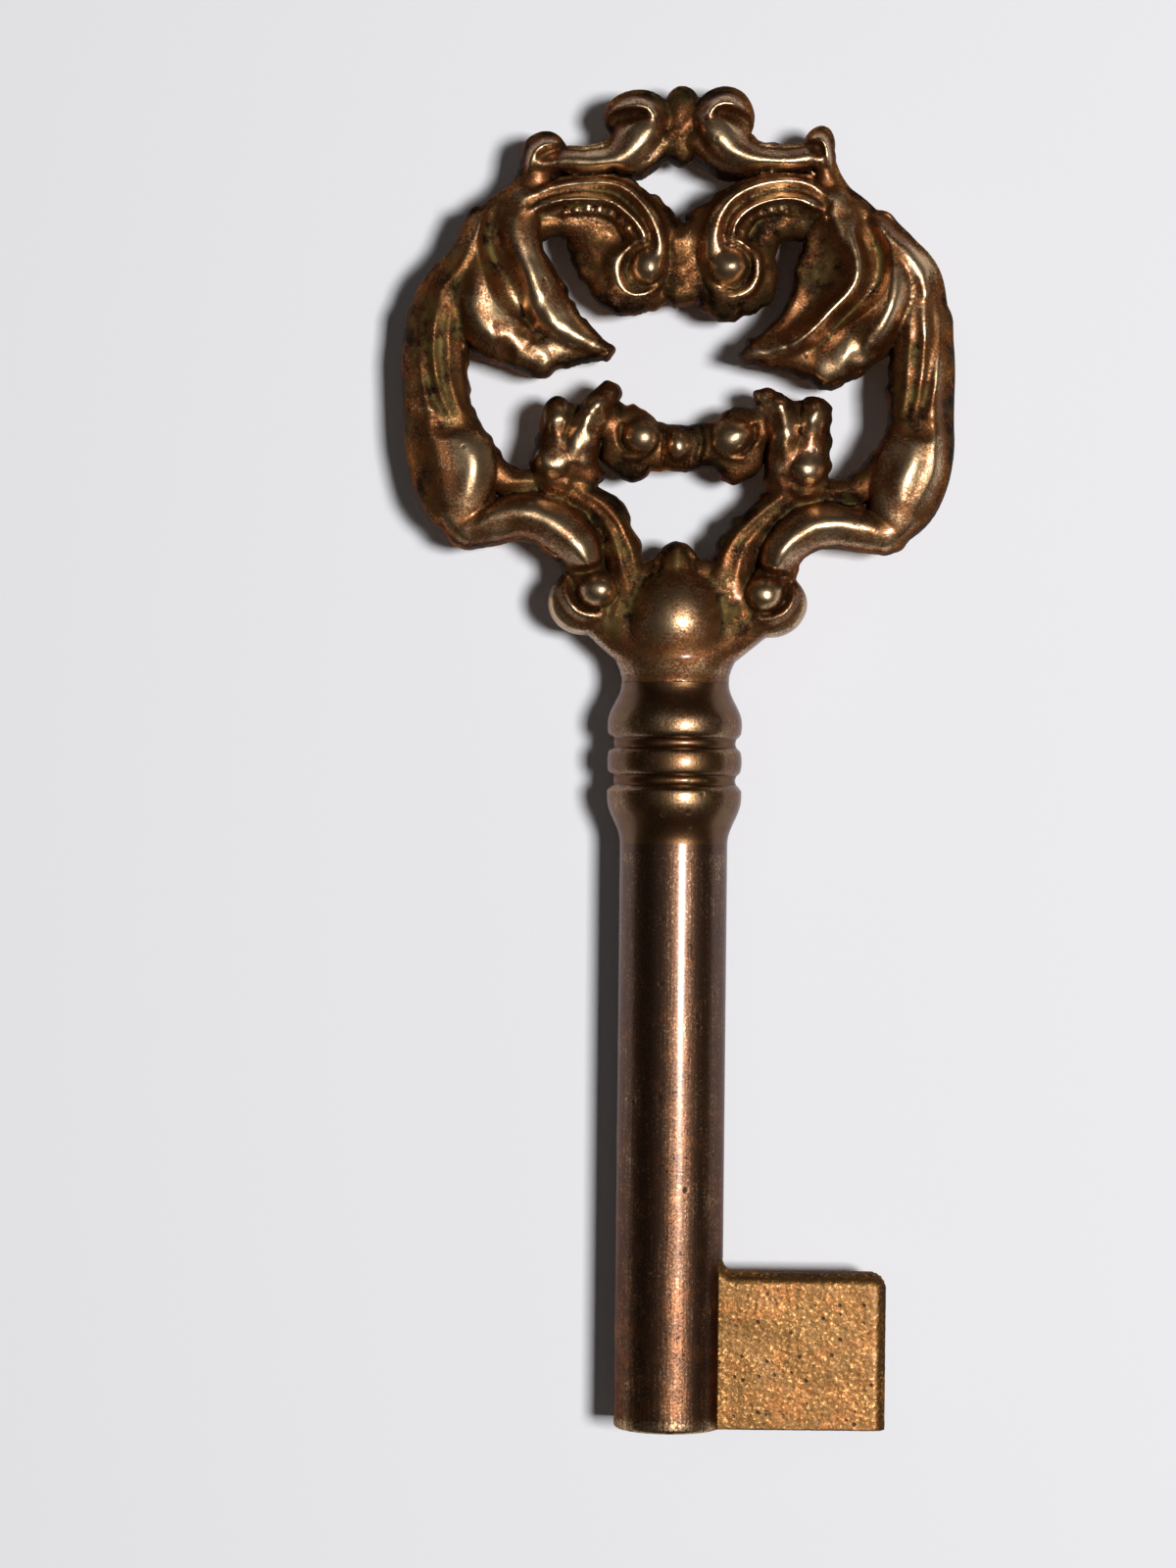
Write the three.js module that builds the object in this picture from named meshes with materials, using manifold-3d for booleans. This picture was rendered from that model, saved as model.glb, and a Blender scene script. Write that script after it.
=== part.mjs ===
// A pierced-bow cabinet key in cast brass: a rococo bow with a tenon below its neck, a turned collar
// threaded on that tenon, a drilled barrel brazed below it and a plain bit let into a slot at the
// barrel's end.
// Millimetres. The key lies flat: +Y runs from the barrel's end to the crest of the bow, +X is the side
// that the bit is on, +Z is up and the parting plane of the casting is level.
import * as THREE from "three";
import { mergeVertices } from "three/addons/utils/BufferGeometryUtils.js";
import Module from "manifold-3d";

const wasm = await Module();
wasm.setup();

// Driving dimensions: the barrel and its bore
const barrelDiameter = 6.4;
const barrelLength = 34.6;
const boreDiameter = 4.0;
const boreDepth = 20;
const boreChamfer = 0.25;
const barrelEndChamfer = 0.2;

// The bow's tenon, which passes through the collar and ends in a socket in the barrel
const tenonDiameter = 3.4;
const tenonInBarrel = 5;
const tenonTipChamfer = 0.4;
const socketRelief = 0.3; // free depth of the socket below the tenon's tip
const brazeGap = 0.05;

// The collar: three bands with a groove on either side of the middle one
const collarDiameter = 8;
const lowerBandLength = 3.4;
const middleBandLength = 1.5;
const upperBandLength = 3.2;
const grooveWidth = 0.7;
const grooveDepth = 0.35;
const bandCrown = 0.15; // how far a band bulges past its edges
const waistDiameter = 6.4;

// The bit
const bitReach = 9.65; // from the barrel's surface to the bit's outer edge
const bitLength = 9.3;
const bitThickness = 2.6;
const bitEdgeRadius = 0.8;
const bitCornerRadius = 0.9;
const bitFilletRadius = 0.7;
const slotDepth = 0.6;

// The bow. Its ornament is drawn on a sheet as wide and as high as the bow, and the sheet's foot line
// lies a little below the bow's seat on the collar.
const bowWidth = 33.2;
const bowHeight = 36.05;
const bowHalfDepth = 2.9;
const seatShare = 2.4;
const bossDiameter = 6;
const bossHalfDepth = 3.35;
const bossShare = 13.5;
const bossHeight = 5.5;

// How finely round things are cut
const turnedSides = 24;
const neckSides = 24;
const bossSides = 20;
const ballSides = 10;
const padSides = 12;
const filletSteps = 3;
const drillPointAngle = (59 * Math.PI) / 180; // half of the drill's point angle

const cutOverrun = 1;
const weldTolerance = 0.0001;
const wholeShare = 100;

const barrelRadius = barrelDiameter / 2;
const tenonRadius = tenonDiameter / 2;
const collarLength = lowerBandLength + middleBandLength + upperBandLength + 2 * grooveWidth;
const bowSeat = barrelLength + collarLength;

// Solids and meshes

function solidOf(geometry) {
  const bare = geometry.clone();
  bare.deleteAttribute("normal");
  bare.deleteAttribute("uv");
  const merged = mergeVertices(bare, weldTolerance);
  const mesh = new wasm.Mesh({
    numProp: 3,
    vertProperties: merged.attributes.position.array,
    triVerts: new Uint32Array(merged.index.array),
  });
  return new wasm.Manifold(mesh);
}

function geometryOf(solid) {
  const mesh = solid.getMesh();
  const geometry = new THREE.BufferGeometry();
  geometry.setAttribute("position", new THREE.BufferAttribute(mesh.vertProperties, 3));
  geometry.setIndex(new THREE.BufferAttribute(mesh.triVerts, 1));
  const faceted = geometry.toNonIndexed();
  faceted.computeVertexNormals();
  return faceted;
}

function join(solids) {
  return solids.reduce((whole, next) => whole.add(next));
}

function brass(color, roughness) {
  return new THREE.MeshStandardMaterial({ color, roughness, metalness: 1 });
}

function piece(name, geometry, material) {
  const mesh = new THREE.Mesh(geometry, material);
  mesh.name = name;
  return mesh;
}

// A turned piece: its profile is a closed loop of [radius, height along the key] corners.
function turned(profile, sides = turnedSides) {
  const corners = profile.map(([radius, along]) => new THREE.Vector2(radius, along));
  return new THREE.LatheGeometry([...corners, corners[0].clone()], sides);
}

// A stroke is one roll of the ornament: a closed section swept along a smooth line on the sheet.
// A section is a list of [across, up] corners in shares of the stroke's half width and half depth,
// anticlockwise, with its widest corners on the parting plane.

const rollSectionShares = [
  [100, 0], [74, 72], [0, 100], [-74, 72], [-100, 0], [-74, -72], [0, -100], [74, -72],
];
const flatSectionShares = [[100, 0], [55, 100], [-55, 100], [-100, 0], [-55, -100], [55, -100]];
const ridgeSectionShares = [[100, 0], [0, 100], [-100, 0], [0, -100]];

const ofWidth = (share) => (share * bowWidth) / wholeShare;
const ofHeight = (share) => (share * bowHeight) / wholeShare;
const ofDepth = (share) => (share * bowHalfDepth) / wholeShare;
const sheetHeight = (share) => bowSeat + ofHeight(share - seatShare);

// rows are [x, y, half width, half depth] in shares: x and the half width of the bow's width, y of its
// height, the half depth of the bow's half depth. side is 1 for the right half and -1 for the left.
function stroke(rowShares, { side = 1, section = rollSectionShares, stepsPerSpan = 2 } = {}) {
  const places = rowShares.map(([x, y]) => new THREE.Vector3(side * ofWidth(x), sheetHeight(y), 0));
  const girths = rowShares.map(([, , w, d]) => new THREE.Vector2(ofWidth(w), ofDepth(d)));
  const line = new THREE.CatmullRomCurve3(places, false, "centripetal");
  const steps = (rowShares.length - 1) * stepsPerSpan;
  const rings = [];
  const addRing = (t, shift, shrink) => {
    const ahead = line.getTangent(t);
    const row = Math.min(Math.floor(t * (girths.length - 1)), girths.length - 2);
    const girth = girths[row].clone().lerp(girths[row + 1], t * (girths.length - 1) - row);
    const centre = line.getPoint(t).addScaledVector(ahead, shift * girth.x);
    rings.push(
      section.map(([across, up]) => {
        const u = (shrink * girth.x * across) / wholeShare;
        const v = (shrink * girth.y * up) / wholeShare;
        return new THREE.Vector3(centre.x - ahead.y * u, centre.y + ahead.x * u, v);
      }),
    );
    return line.getPoint(t).addScaledVector(ahead, Math.sign(shift) * girth.x);
  };
  // Each end is rounded by one smaller ring, half way to its tip.
  const bend = Math.PI / 4;
  const startTip = addRing(0, -Math.sin(bend), Math.cos(bend));
  for (let i = 0; i <= steps; i++) addRing(i / steps, 0, 1);
  const endTip = addRing(1, Math.sin(bend), Math.cos(bend));
  return loftedSolid(rings, startTip, endTip);
}

function loftedSolid(rings, startTip, endTip) {
  const corners = [];
  const face = (...points) => points.forEach((p) => corners.push(p.x, p.y, p.z));
  const around = rings[0].length;
  for (let i = 0; i < around; i++) {
    const j = (i + 1) % around;
    face(startTip, rings[0][j], rings[0][i]);
    for (let r = 0; r + 1 < rings.length; r++) {
      face(rings[r][i], rings[r][j], rings[r + 1][j]);
      face(rings[r][i], rings[r + 1][j], rings[r + 1][i]);
    }
    face(rings.at(-1)[i], rings.at(-1)[j], endTip);
  }
  const geometry = new THREE.BufferGeometry();
  geometry.setAttribute("position", new THREE.Float32BufferAttribute(corners, 3));
  return solidOf(geometry);
}

// The ornament, drawn once for the half with positive x: the round rolls, the flatter grounds that
// join them, and the ridges that are laid on both.

const rollShares = {
  outerRimShares: [
    [27, 84, 1.8, 66], [33, 79.8, 2.1, 76], [39.5, 74.2, 2.3, 82], [44.8, 66.6, 2.3, 82],
    [47.5, 56, 2.3, 82], [47.4, 44, 2.3, 82], [45, 34.6, 2.2, 78], [39.6, 27, 1.8, 68],
  ],
  budShares: [[42.9, 44.6, 4.4, 84], [41, 40, 5.9, 96], [38.4, 34.6, 5.4, 92], [38.8, 28.4, 2.6, 70]],
  lowerRollShares: [
    [36.9, 26.6, 2.8, 74], [32.4, 28.7, 4.2, 88], [27.2, 29.4, 4.6, 94], [21.8, 27.6, 4.5, 94],
    [18.4, 24.4, 3.9, 90], [17.3, 21.8, 2.9, 80],
  ],
  leafMainLobeShares: [
    [29.2, 82, 3, 76], [29.6, 77, 4.4, 93], [28.4, 71, 4.9, 100], [25.4, 65, 4.6, 98],
    [20.8, 60.4, 3.7, 92], [14.3, 57, 1.3, 66],
  ],
  crestScrollShares: [
    [25.2, 88, 2.4, 70], [19.4, 87.9, 2.9, 82], [12.6, 88.6, 3.2, 88], [7.6, 91.4, 3.8, 95],
    [5.4, 94.4, 3.5, 94], [6.6, 96.9, 3, 88],
  ],
};

const lobeShares = {
  leafSideLobeShares: [[36.4, 76, 2.2, 74], [37.1, 70, 3.1, 90], [35.6, 61, 2.4, 84]],
  leafLowLobeShares: [[32.6, 63, 2.4, 84], [28.6, 57.6, 2.9, 86], [25.4, 53.2, 1.6, 66]],
  crownOuterLobeShares: [[21.4, 37, 2.6, 62], [22.4, 43, 3.1, 72], [23, 47.2, 2.2, 58]],
  crownInnerLobeShares: [[19.8, 38, 2.8, 66], [17, 44, 3.8, 80], [13.6, 49, 2.6, 62]],
};

const groundShares = {
  armShares: [
    [33.4, 78.8, 3, 61], [39.4, 71.4, 5, 61], [43, 62, 6, 61], [43.6, 52, 6.3, 61], [40.4, 41, 6.4, 61],
  ],
  budWingShares: [[36.6, 41, 3.4, 48], [30.6, 34.8, 3.2, 48]],
  railShares: [[29, 34.4, 2.8, 56], [21, 33.4, 3.4, 56], [13, 28, 3.4, 56], [8.6, 17, 3.4, 56]],
  neckWingShares: [[15, 13.4, 4, 52], [10.4, 9.6, 3.2, 52], [8.4, 5.4, 1.8, 52]],
  crownShares: [[20.6, 33.6, 5, 44], [20, 39, 5.2, 44], [17.6, 44.8, 6.6, 44]],
  bridgeSkirtShares: [[14.4, 39.2, 2.4, 24], [9, 38.6, 3, 24], [3.6, 39, 2.2, 24]],
  scrollShares: [[27, 79.6, 3.6, 66], [21, 81, 5.2, 66], [13, 80.6, 5.2, 66], [7.6, 75, 4.6, 66]],
  leafShares: [[36.6, 74, 4.6, 70], [34, 65, 6.8, 70], [28, 58.8, 6, 70], [20, 57, 3, 64]],
  crestEarShares: [[25.2, 87, 2.6, 62], [25.2, 90.2, 2.8, 62]],
  crestFootShares: [[27, 84.6, 1.8, 51], [18, 85.6, 2.9, 51], [7.6, 87, 2.4, 51]],
};

const ridgeShares = {
  armStrandShares: [[41.8, 66.6, 1, 76], [43.2, 57, 1.2, 84], [42.2, 48.6, 1, 80]],
  railRidgeShares: [[21.4, 35.4, 1, 76], [14.6, 31.8, 1.1, 84], [9.8, 26, 1.1, 84], [7.8, 20.6, 1, 76]],
  voluteRingShares: [[20.6, 20.2, 0.9, 74], [20, 15, 1.1, 84], [15.6, 12.9, 1.1, 84], [12.4, 14, 0.9, 76]],
  scrollOuterRidgeShares: [
    [26.2, 80.8, 1.1, 80], [21, 84.8, 1.3, 88], [13.4, 84.8, 1.3, 88], [7, 81.2, 1.3, 88],
    [4.3, 74.6, 1.3, 88], [5.2, 68.4, 1.2, 87], [9.4, 66.2, 1.2, 86], [13, 69, 1.1, 82],
    [12.4, 72.8, 1, 76],
  ],
  scrollInnerRidgeShares: [[24.4, 80.2, 0.9, 82], [18, 82.2, 1.1, 86], [11.6, 80.8, 1.1, 86], [8.4, 76.8, 1, 80]],
  leafVeinShares: [[38.6, 74.8, 0.8, 84], [41.6, 70.6, 1, 92], [42.8, 66.8, 0.8, 84]],
  crestRidgeShares: [[11.2, 95.8, 0.9, 76], [8.4, 98.2, 1.1, 86], [5, 96.8, 1, 84]],
};

// Flat pads and balls: [x, y, half width, half height, half depth] in the same shares.
const padShares = {
  voluteShares: [16.6, 16.2, 6.6, 6.2, 64],
  scrollEyeShares: [9.7, 69.9, 7.8, 7.2, 46],
  bridgeDiscShares: [8.8, 42, 5.2, 5.6, 42],
  crestCurlShares: [8.6, 95.4, 5, 4.8, 58],
};

const ballShares = {
  voluteBallShares: [15, 17.6, 4.6, 3.2, 98],
  eyeBallShares: [8.6, 71, 2.6, 2.8, 88],
  bridgeBallShares: [8.6, 42.4, 3.3, 3.3, 62],
};

// What stands on the axis: the leaf bud above the boss, the webs between the two halves and their beads.
const axisShares = {
  budLeafShares: [[0, 21.4, 3, 62], [0, 24, 1.8, 54]],
  bridgeBarShares: [[-6, 42, 4, 36], [0, 41, 3.4, 36], [6, 42, 4, 36]],
  scrollWebShares: [[0, 67.8, 4.4, 40], [0, 73, 5, 40], [0, 77, 4, 40]],
  crestWebShares: [[0, 92.4, 3.6, 45], [0, 95.6, 3.6, 45]],
};

const axisPadShares = {
  bossWebShares: [0, 15, 14.5, 8.4, 50],
};

const axisBallShares = {
  bridgeBeadShares: [0, 41.6, 2.9, 2.4, 58],
  crestBeadShares: [0, 94.4, 1.2, 1.6, 58],
};

// The neck between the collar and the boss is turned too: [radius, height] rows in shares of the
// boss's diameter, from the seat upwards.
const neckShares = [[54.5, 8], [57, 18], [58, 28], [50, 42]];

function neckGeometry() {
  const profile = [[0, bowSeat], [waistDiameter / 2, bowSeat]];
  for (const [radius, along] of neckShares) {
    profile.push([(radius * bossDiameter) / wholeShare, bowSeat + (along * bossDiameter) / wholeShare]);
  }
  profile.push([0, profile.at(-1)[1]]);
  return turned(profile, neckSides);
}

function bossGeometry() {
  const boss = new THREE.SphereGeometry(1, bossSides, bossSides / 2);
  boss.scale(bossDiameter / 2, bossHeight / 2, bossHalfDepth);
  boss.translate(0, sheetHeight(bossShare), 0);
  return boss;
}

// A ball or a pad is a unit shape brought to its place and size on the sheet.
function placed(unit, [x, y, halfWidth, halfHeight, halfDepth], side) {
  const geometry = unit.clone();
  geometry.scale(ofWidth(halfWidth), ofHeight(halfHeight), ofDepth(halfDepth));
  geometry.translate(side * ofWidth(x), sheetHeight(y), 0);
  return solidOf(geometry);
}

const unitBall = new THREE.SphereGeometry(1, ballSides, ballSides / 2);
unitBall.rotateX(Math.PI / 2);

const padRimShare = 70;
const unitPad = new THREE.LatheGeometry(
  [[0, -1], [padRimShare / wholeShare, -1], [1, 0], [padRimShare / wholeShare, 1], [0, 1]].map(
    ([radius, up]) => new THREE.Vector2(radius, up),
  ),
  padSides,
);
unitPad.rotateX(Math.PI / 2);

function bowSolid() {
  const solids = [solidOf(neckGeometry()), solidOf(bossGeometry()), solidOf(tenonGeometry())];
  const lay = (table, make) => Object.values(table).forEach((row) => solids.push(make(row)));
  lay(axisShares, (rows) => stroke(rows, { section: flatSectionShares }));
  lay(axisPadShares, (row) => placed(unitPad, row, 1));
  lay(axisBallShares, (row) => placed(unitBall, row, 1));
  for (const side of [1, -1]) {
    lay(rollShares, (rows) => stroke(rows, { side }));
    lay({ ...lobeShares, ...groundShares }, (rows) => stroke(rows, { side, section: flatSectionShares }));
    lay(ridgeShares, (rows) => stroke(rows, { side, section: ridgeSectionShares }));
    lay(padShares, (row) => placed(unitPad, row, side));
    lay(ballShares, (row) => placed(unitBall, row, side));
  }
  return join(solids);
}

function tenonGeometry() {
  const tip = barrelLength - tenonInBarrel;
  return turned([
    [0, tip], [tenonRadius - tenonTipChamfer, tip], [tenonRadius, tip + tenonTipChamfer],
    [tenonRadius, bowSeat + cutOverrun], [0, bowSeat + cutOverrun],
  ]);
}

// The collar: a turned sleeve, bored to slide on the tenon. The barrel's end seats on its lower face
// and the bow's shoulder on its upper one.

function collarGeometry() {
  const radius = collarDiameter / 2;
  const edge = radius - bandCrown;
  const floor = radius - grooveDepth;
  const bore = tenonRadius + brazeGap;
  const lowerTop = barrelLength + lowerBandLength;
  const middleFoot = lowerTop + grooveWidth;
  const middleTop = middleFoot + middleBandLength;
  const upperFoot = middleTop + grooveWidth;
  const profile = [[bore, barrelLength]];
  const swell = (fromRadius, toRadius, from, to) => {
    for (let i = 0; i <= filletSteps; i++) {
      const t = i / filletSteps;
      const ease = (1 - Math.cos(Math.PI * t)) / 2;
      profile.push([fromRadius + (toRadius - fromRadius) * ease, from + (to - from) * t]);
    }
  };
  swell(barrelRadius, radius, barrelLength, lowerTop - grooveWidth);
  profile.push([edge, lowerTop], [floor, lowerTop], [floor, middleFoot]);
  profile.push([edge, middleFoot], [radius, (2 * middleFoot + middleTop) / 3]);
  profile.push([radius, (middleFoot + 2 * middleTop) / 3], [edge, middleTop]);
  profile.push([floor, middleTop], [floor, upperFoot], [edge, upperFoot]);
  swell(radius, waistDiameter / 2, upperFoot + grooveWidth, bowSeat);
  profile.push([bore, bowSeat]);
  return turned(profile);
}

// The barrel: a round bar, drilled from its end for the lock's pin and socketed at its top for the
// tenon, with a slot milled through one side of the wall for the bit's root.

const slotFloor = barrelRadius - slotDepth;
const rootTop = bitLength + bitFilletRadius;

function boxBetween(low, high) {
  const from = new THREE.Vector3(...low);
  const to = new THREE.Vector3(...high);
  const size = to.clone().sub(from);
  const box = new THREE.BoxGeometry(size.x, size.y, size.z);
  const centre = from.add(to).multiplyScalar(1 / 2);
  box.translate(centre.x, centre.y, centre.z);
  return solidOf(box);
}

function barrelGeometry() {
  const boreRadius = boreDiameter / 2;
  const drillPoint = boreRadius / Math.tan(drillPointAngle);
  const socketRadius = tenonRadius + brazeGap;
  const socketFloor = barrelLength - tenonInBarrel - socketRelief;
  const bar = solidOf(turned([
    [boreRadius + boreChamfer, 0], [barrelRadius - barrelEndChamfer, 0], [barrelRadius, barrelEndChamfer],
    [barrelRadius, barrelLength], [socketRadius, barrelLength], [socketRadius, socketFloor], [0, socketFloor],
    [0, boreDepth + drillPoint], [boreRadius, boreDepth], [boreRadius, boreChamfer],
  ]));
  const halfWidth = bitThickness / 2 + brazeGap;
  const slot = boxBetween(
    [slotFloor, -cutOverrun, -halfWidth],
    [barrelRadius + cutOverrun, rootTop + brazeGap, halfWidth],
  );
  return geometryOf(bar.subtract(slot));
}

// The bit: a plain flag with rounded edges, cut off flush with the barrel's end. Its square root stands
// in the slot and a fillet runs up from its upper edge to the barrel.
function bitGeometry() {
  const outer = barrelRadius + bitReach;
  const halfThickness = bitThickness / 2;
  const crestHalfThickness = halfThickness - bitEdgeRadius;
  const rootFace = Math.sqrt(barrelRadius ** 2 - halfThickness ** 2);

  const flag = new THREE.Shape();
  const right = outer - bitEdgeRadius;
  const top = bitLength - bitEdgeRadius;
  const corner = bitCornerRadius - bitEdgeRadius;
  flag.moveTo(slotFloor - cutOverrun, -cutOverrun);
  flag.lineTo(right, -cutOverrun);
  flag.lineTo(right, top - corner);
  flag.absarc(right - corner, top - corner, corner, 0, Math.PI / 2);
  flag.lineTo(slotFloor - cutOverrun, top);
  const slab = new THREE.ExtrudeGeometry(flag, {
    depth: 2 * crestHalfThickness,
    bevelThickness: bitEdgeRadius,
    bevelSize: bitEdgeRadius,
    bevelSegments: filletSteps,
    curveSegments: filletSteps,
  });
  slab.translate(0, 0, -crestHalfThickness);
  const keep = boxBetween(
    [slotFloor, 0, -bitThickness],
    [outer + cutOverrun, bitLength + cutOverrun, bitThickness],
  );

  const fillet = new THREE.Shape();
  fillet.moveTo(slotFloor, top);
  fillet.lineTo(barrelRadius + bitFilletRadius, top);
  fillet.absarc(barrelRadius + bitFilletRadius, rootTop, bitFilletRadius, -Math.PI / 2, -Math.PI, true);
  fillet.lineTo(slotFloor, rootTop);
  const web = new THREE.ExtrudeGeometry(fillet, {
    depth: 2 * crestHalfThickness,
    bevelEnabled: false,
    curveSegments: 2 * filletSteps,
  });
  web.translate(0, 0, -crestHalfThickness);
  const root = boxBetween([slotFloor, 0, -halfThickness], [rootFace, rootTop, halfThickness]);
  return geometryOf(join([solidOf(slab).intersect(keep), solidOf(web), root]));
}

const castBrass = brass(0x8a6238, 0.42);
const turnedBrass = brass(0x7d5a36, 0.38);
const wornBrass = brass(0xb08a48, 0.55);

const key = new THREE.Group();
key.add(
  piece("bow", geometryOf(bowSolid()), castBrass),
  piece("collar", collarGeometry(), turnedBrass),
  piece("barrel", barrelGeometry(), turnedBrass),
  piece("bit", bitGeometry(), wornBrass),
);

// The origin is below the middle of the key, level with its lowest point, so that it lies on z = 0.
const extent = new THREE.Box3().setFromObject(key);
key.position.set(0, -(extent.min.y + extent.max.y) / 2, -extent.min.z);

export default key;
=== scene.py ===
# %% [markdown]
# # A cabinet key with a pierced bow, in aged brass
# The key has four pieces: a cast bow full of scrolls and leaves, a turned collar, a drilled barrel and a
# plain bit. The construction model already gives each piece its real size and place, so this file only makes
# fine surfaces and finishes in the same places. It starts by loading that model and measuring it.

# %% Load the construction model and measure it
import itertools
import math

import bmesh
import bpy
import numpy as np
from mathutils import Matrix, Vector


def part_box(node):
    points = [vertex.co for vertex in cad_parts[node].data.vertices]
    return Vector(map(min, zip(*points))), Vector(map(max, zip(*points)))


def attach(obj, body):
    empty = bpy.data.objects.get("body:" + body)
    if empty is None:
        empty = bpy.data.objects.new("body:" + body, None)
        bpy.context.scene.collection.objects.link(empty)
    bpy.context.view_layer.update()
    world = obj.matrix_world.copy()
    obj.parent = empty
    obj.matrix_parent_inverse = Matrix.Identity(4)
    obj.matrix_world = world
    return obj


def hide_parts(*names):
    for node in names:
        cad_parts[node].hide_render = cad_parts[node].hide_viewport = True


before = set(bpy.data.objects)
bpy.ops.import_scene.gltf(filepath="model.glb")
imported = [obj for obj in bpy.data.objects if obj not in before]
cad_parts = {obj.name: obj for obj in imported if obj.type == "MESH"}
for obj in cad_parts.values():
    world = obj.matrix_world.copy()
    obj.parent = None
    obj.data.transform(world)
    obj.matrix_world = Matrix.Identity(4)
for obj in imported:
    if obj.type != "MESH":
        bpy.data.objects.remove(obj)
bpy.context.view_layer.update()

MM = 0.001

# %% [markdown]
# ## The places that everything is worked out from
# The key lies flat with its length along Y and the parting plane of the casting level. All work below is done
# in millimetres, because brass ornament is thought of in millimetres, with heights counted from the parting
# plane. A mesh is turned to metres when it is made.

# %% Read the main sizes of each piece off the model
def box_mm(node):
    low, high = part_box(node)
    return np.array(low) / MM, np.array(high) / MM


bow_low, bow_high = box_mm("bow")
collar_low, collar_high = box_mm("collar")
barrel_low, barrel_high = box_mm("barrel")
bit_low, bit_high = box_mm("bit")

axis_height = (barrel_low[2] + barrel_high[2]) / 2
bow_seat = collar_high[1]
bow_width = bow_high[0] - bow_low[0]
bow_rise = bow_high[1] - bow_seat
barrel_radius = (barrel_high[2] - barrel_low[2]) / 2
collar_radius = (collar_high[2] - collar_low[2]) / 2
print("axis at z", round(axis_height, 2), "seat at y", round(bow_seat, 2), "bow", round(bow_width, 2), "wide")

# %% [markdown]
# ## The camera
# The photograph looks straight down from about a quarter of a metre above the table, so the camera does too.
# It is turned by a small angle, because the real key lies slightly askew in the picture.

# %% Place the camera above the key
PHOTO_HEIGHT_MM = 93.0
LENS_DISTANCE_MM = 250.0
PHOTO_CENTRE_MM = (-5.1, -1.6)
CAMERA_ROLL = math.radians(0.6)

camera_data = bpy.data.cameras.new("camera")
camera_data.lens = camera_data.sensor_width * LENS_DISTANCE_MM / PHOTO_HEIGHT_MM
camera = bpy.data.objects.new("camera", camera_data)
camera.location = [value * MM for value in (*PHOTO_CENTRE_MM, axis_height + LENS_DISTANCE_MM)]
camera.rotation_euler = (0, 0, CAMERA_ROLL)
bpy.context.scene.collection.objects.link(camera)
bpy.context.scene.camera = camera
print("lens", round(camera_data.lens, 1), "mm")

# %% [markdown]
# ## The light
# Polished metal shows what stands round it, so the lights matter as much as the brass. One small soft box
# stands high on the right, where the flash of the photograph was, and keeps the highlights narrow. A large
# dim panel fills in from the left, and the room stays nearly dark, so that slopes go deep brown. Together
# they light a level sheet at about the level at which its colour renders as it is written.

# %% Add a soft box and a fill panel
FULL_LEVEL = math.pi
SOFT_BOX_PLACE_MM = (205.0, -10.0, 625.0)
SOFT_BOX_SIDE_MM = 105.0
SOFT_BOX_SHARE = 0.9
FILL_PLACE_MM = (-160.0, 120.0, 640.0)
FILL_SIDE_MM = 620.0
FILL_SHARE = 0.03


def add_panel(name, place_mm, side_mm, share):
    """A square lamp that faces the key and gives it a share of the full level."""
    data = bpy.data.lights.new(name, "AREA")
    data.size = side_mm * MM
    distance = (np.linalg.norm(place_mm) - axis_height) * MM
    data.energy = share * FULL_LEVEL * math.pi * distance**2
    panel = bpy.data.objects.new(name, data)
    panel.location = [value * MM for value in place_mm]
    panel.rotation_euler = panel.location.to_track_quat("Z", "Y").to_euler()
    bpy.context.scene.collection.objects.link(panel)
    print(name, round(data.energy, 3), "W")


add_panel("soft_box", SOFT_BOX_PLACE_MM, SOFT_BOX_SIDE_MM, SOFT_BOX_SHARE)
add_panel("fill_panel", FILL_PLACE_MM, FILL_SIDE_MM, FILL_SHARE)

# %% [markdown]
# A shader tree is easier to read when one call makes a node, sets its options and joins its inputs, so a
# small helper does that everywhere below.

# %% A helper that adds one node
def add_node(tree, kind, options=None, inputs=None):
    node = tree.nodes.new(kind)
    for name, value in (options or {}).items():
        setattr(node, name, value)
    for name, value in (inputs or {}).items():
        set_input(tree, node.inputs[name], value)
    return node


def set_input(tree, socket, value):
    """Joins a socket to another one, or gives it a number, or a colour as red, green and blue."""
    if isinstance(value, bpy.types.NodeSocket):
        tree.links.new(value, socket)
    elif socket.type == "RGBA":
        socket.default_value = (*value[:3], 1)
    else:
        socket.default_value = value


def math_node(tree, operation, *values, clamp=False):
    options = {"operation": operation, "use_clamp": clamp}
    return add_node(tree, "ShaderNodeMath", options, dict(enumerate(values))).outputs[0]


print("helpers: add_node, set_input and math_node")

# %% [markdown]
# The key sees a dim warm room. The camera sees a pale backdrop instead, past the edge of the paper.

# %% Build the world
ROOM_LEVEL = 0.017
ROOM_COLOUR = (1, 0.94, 0.88)
BACKDROP_COLOUR = (0.9, 0.9, 0.92)

world = bpy.data.worlds.new("studio")
bpy.context.scene.world = world
world.use_nodes = True
world.node_tree.nodes.clear()
sky = world.node_tree
room = add_node(sky, "ShaderNodeBackground", inputs={"Color": ROOM_COLOUR, "Strength": ROOM_LEVEL})
backdrop = add_node(sky, "ShaderNodeBackground", inputs={"Color": BACKDROP_COLOUR, "Strength": 1.0})
ray = add_node(sky, "ShaderNodeLightPath")
seen = add_node(sky, "ShaderNodeMixShader", inputs={
    0: ray.outputs["Is Camera Ray"], 1: room.outputs[0], 2: backdrop.outputs[0],
})
add_node(sky, "ShaderNodeOutputWorld", inputs={"Surface": seen.outputs[0]})
bpy.context.scene.view_settings.view_transform = "Standard"
print("room level", ROOM_LEVEL)

# %% [markdown]
# ## The floor
# The key lies on a sheet of pale, slightly cool paper. A plane at height zero carries a plain material with a
# very faint tooth, so that the shadow falls on something.

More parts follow.
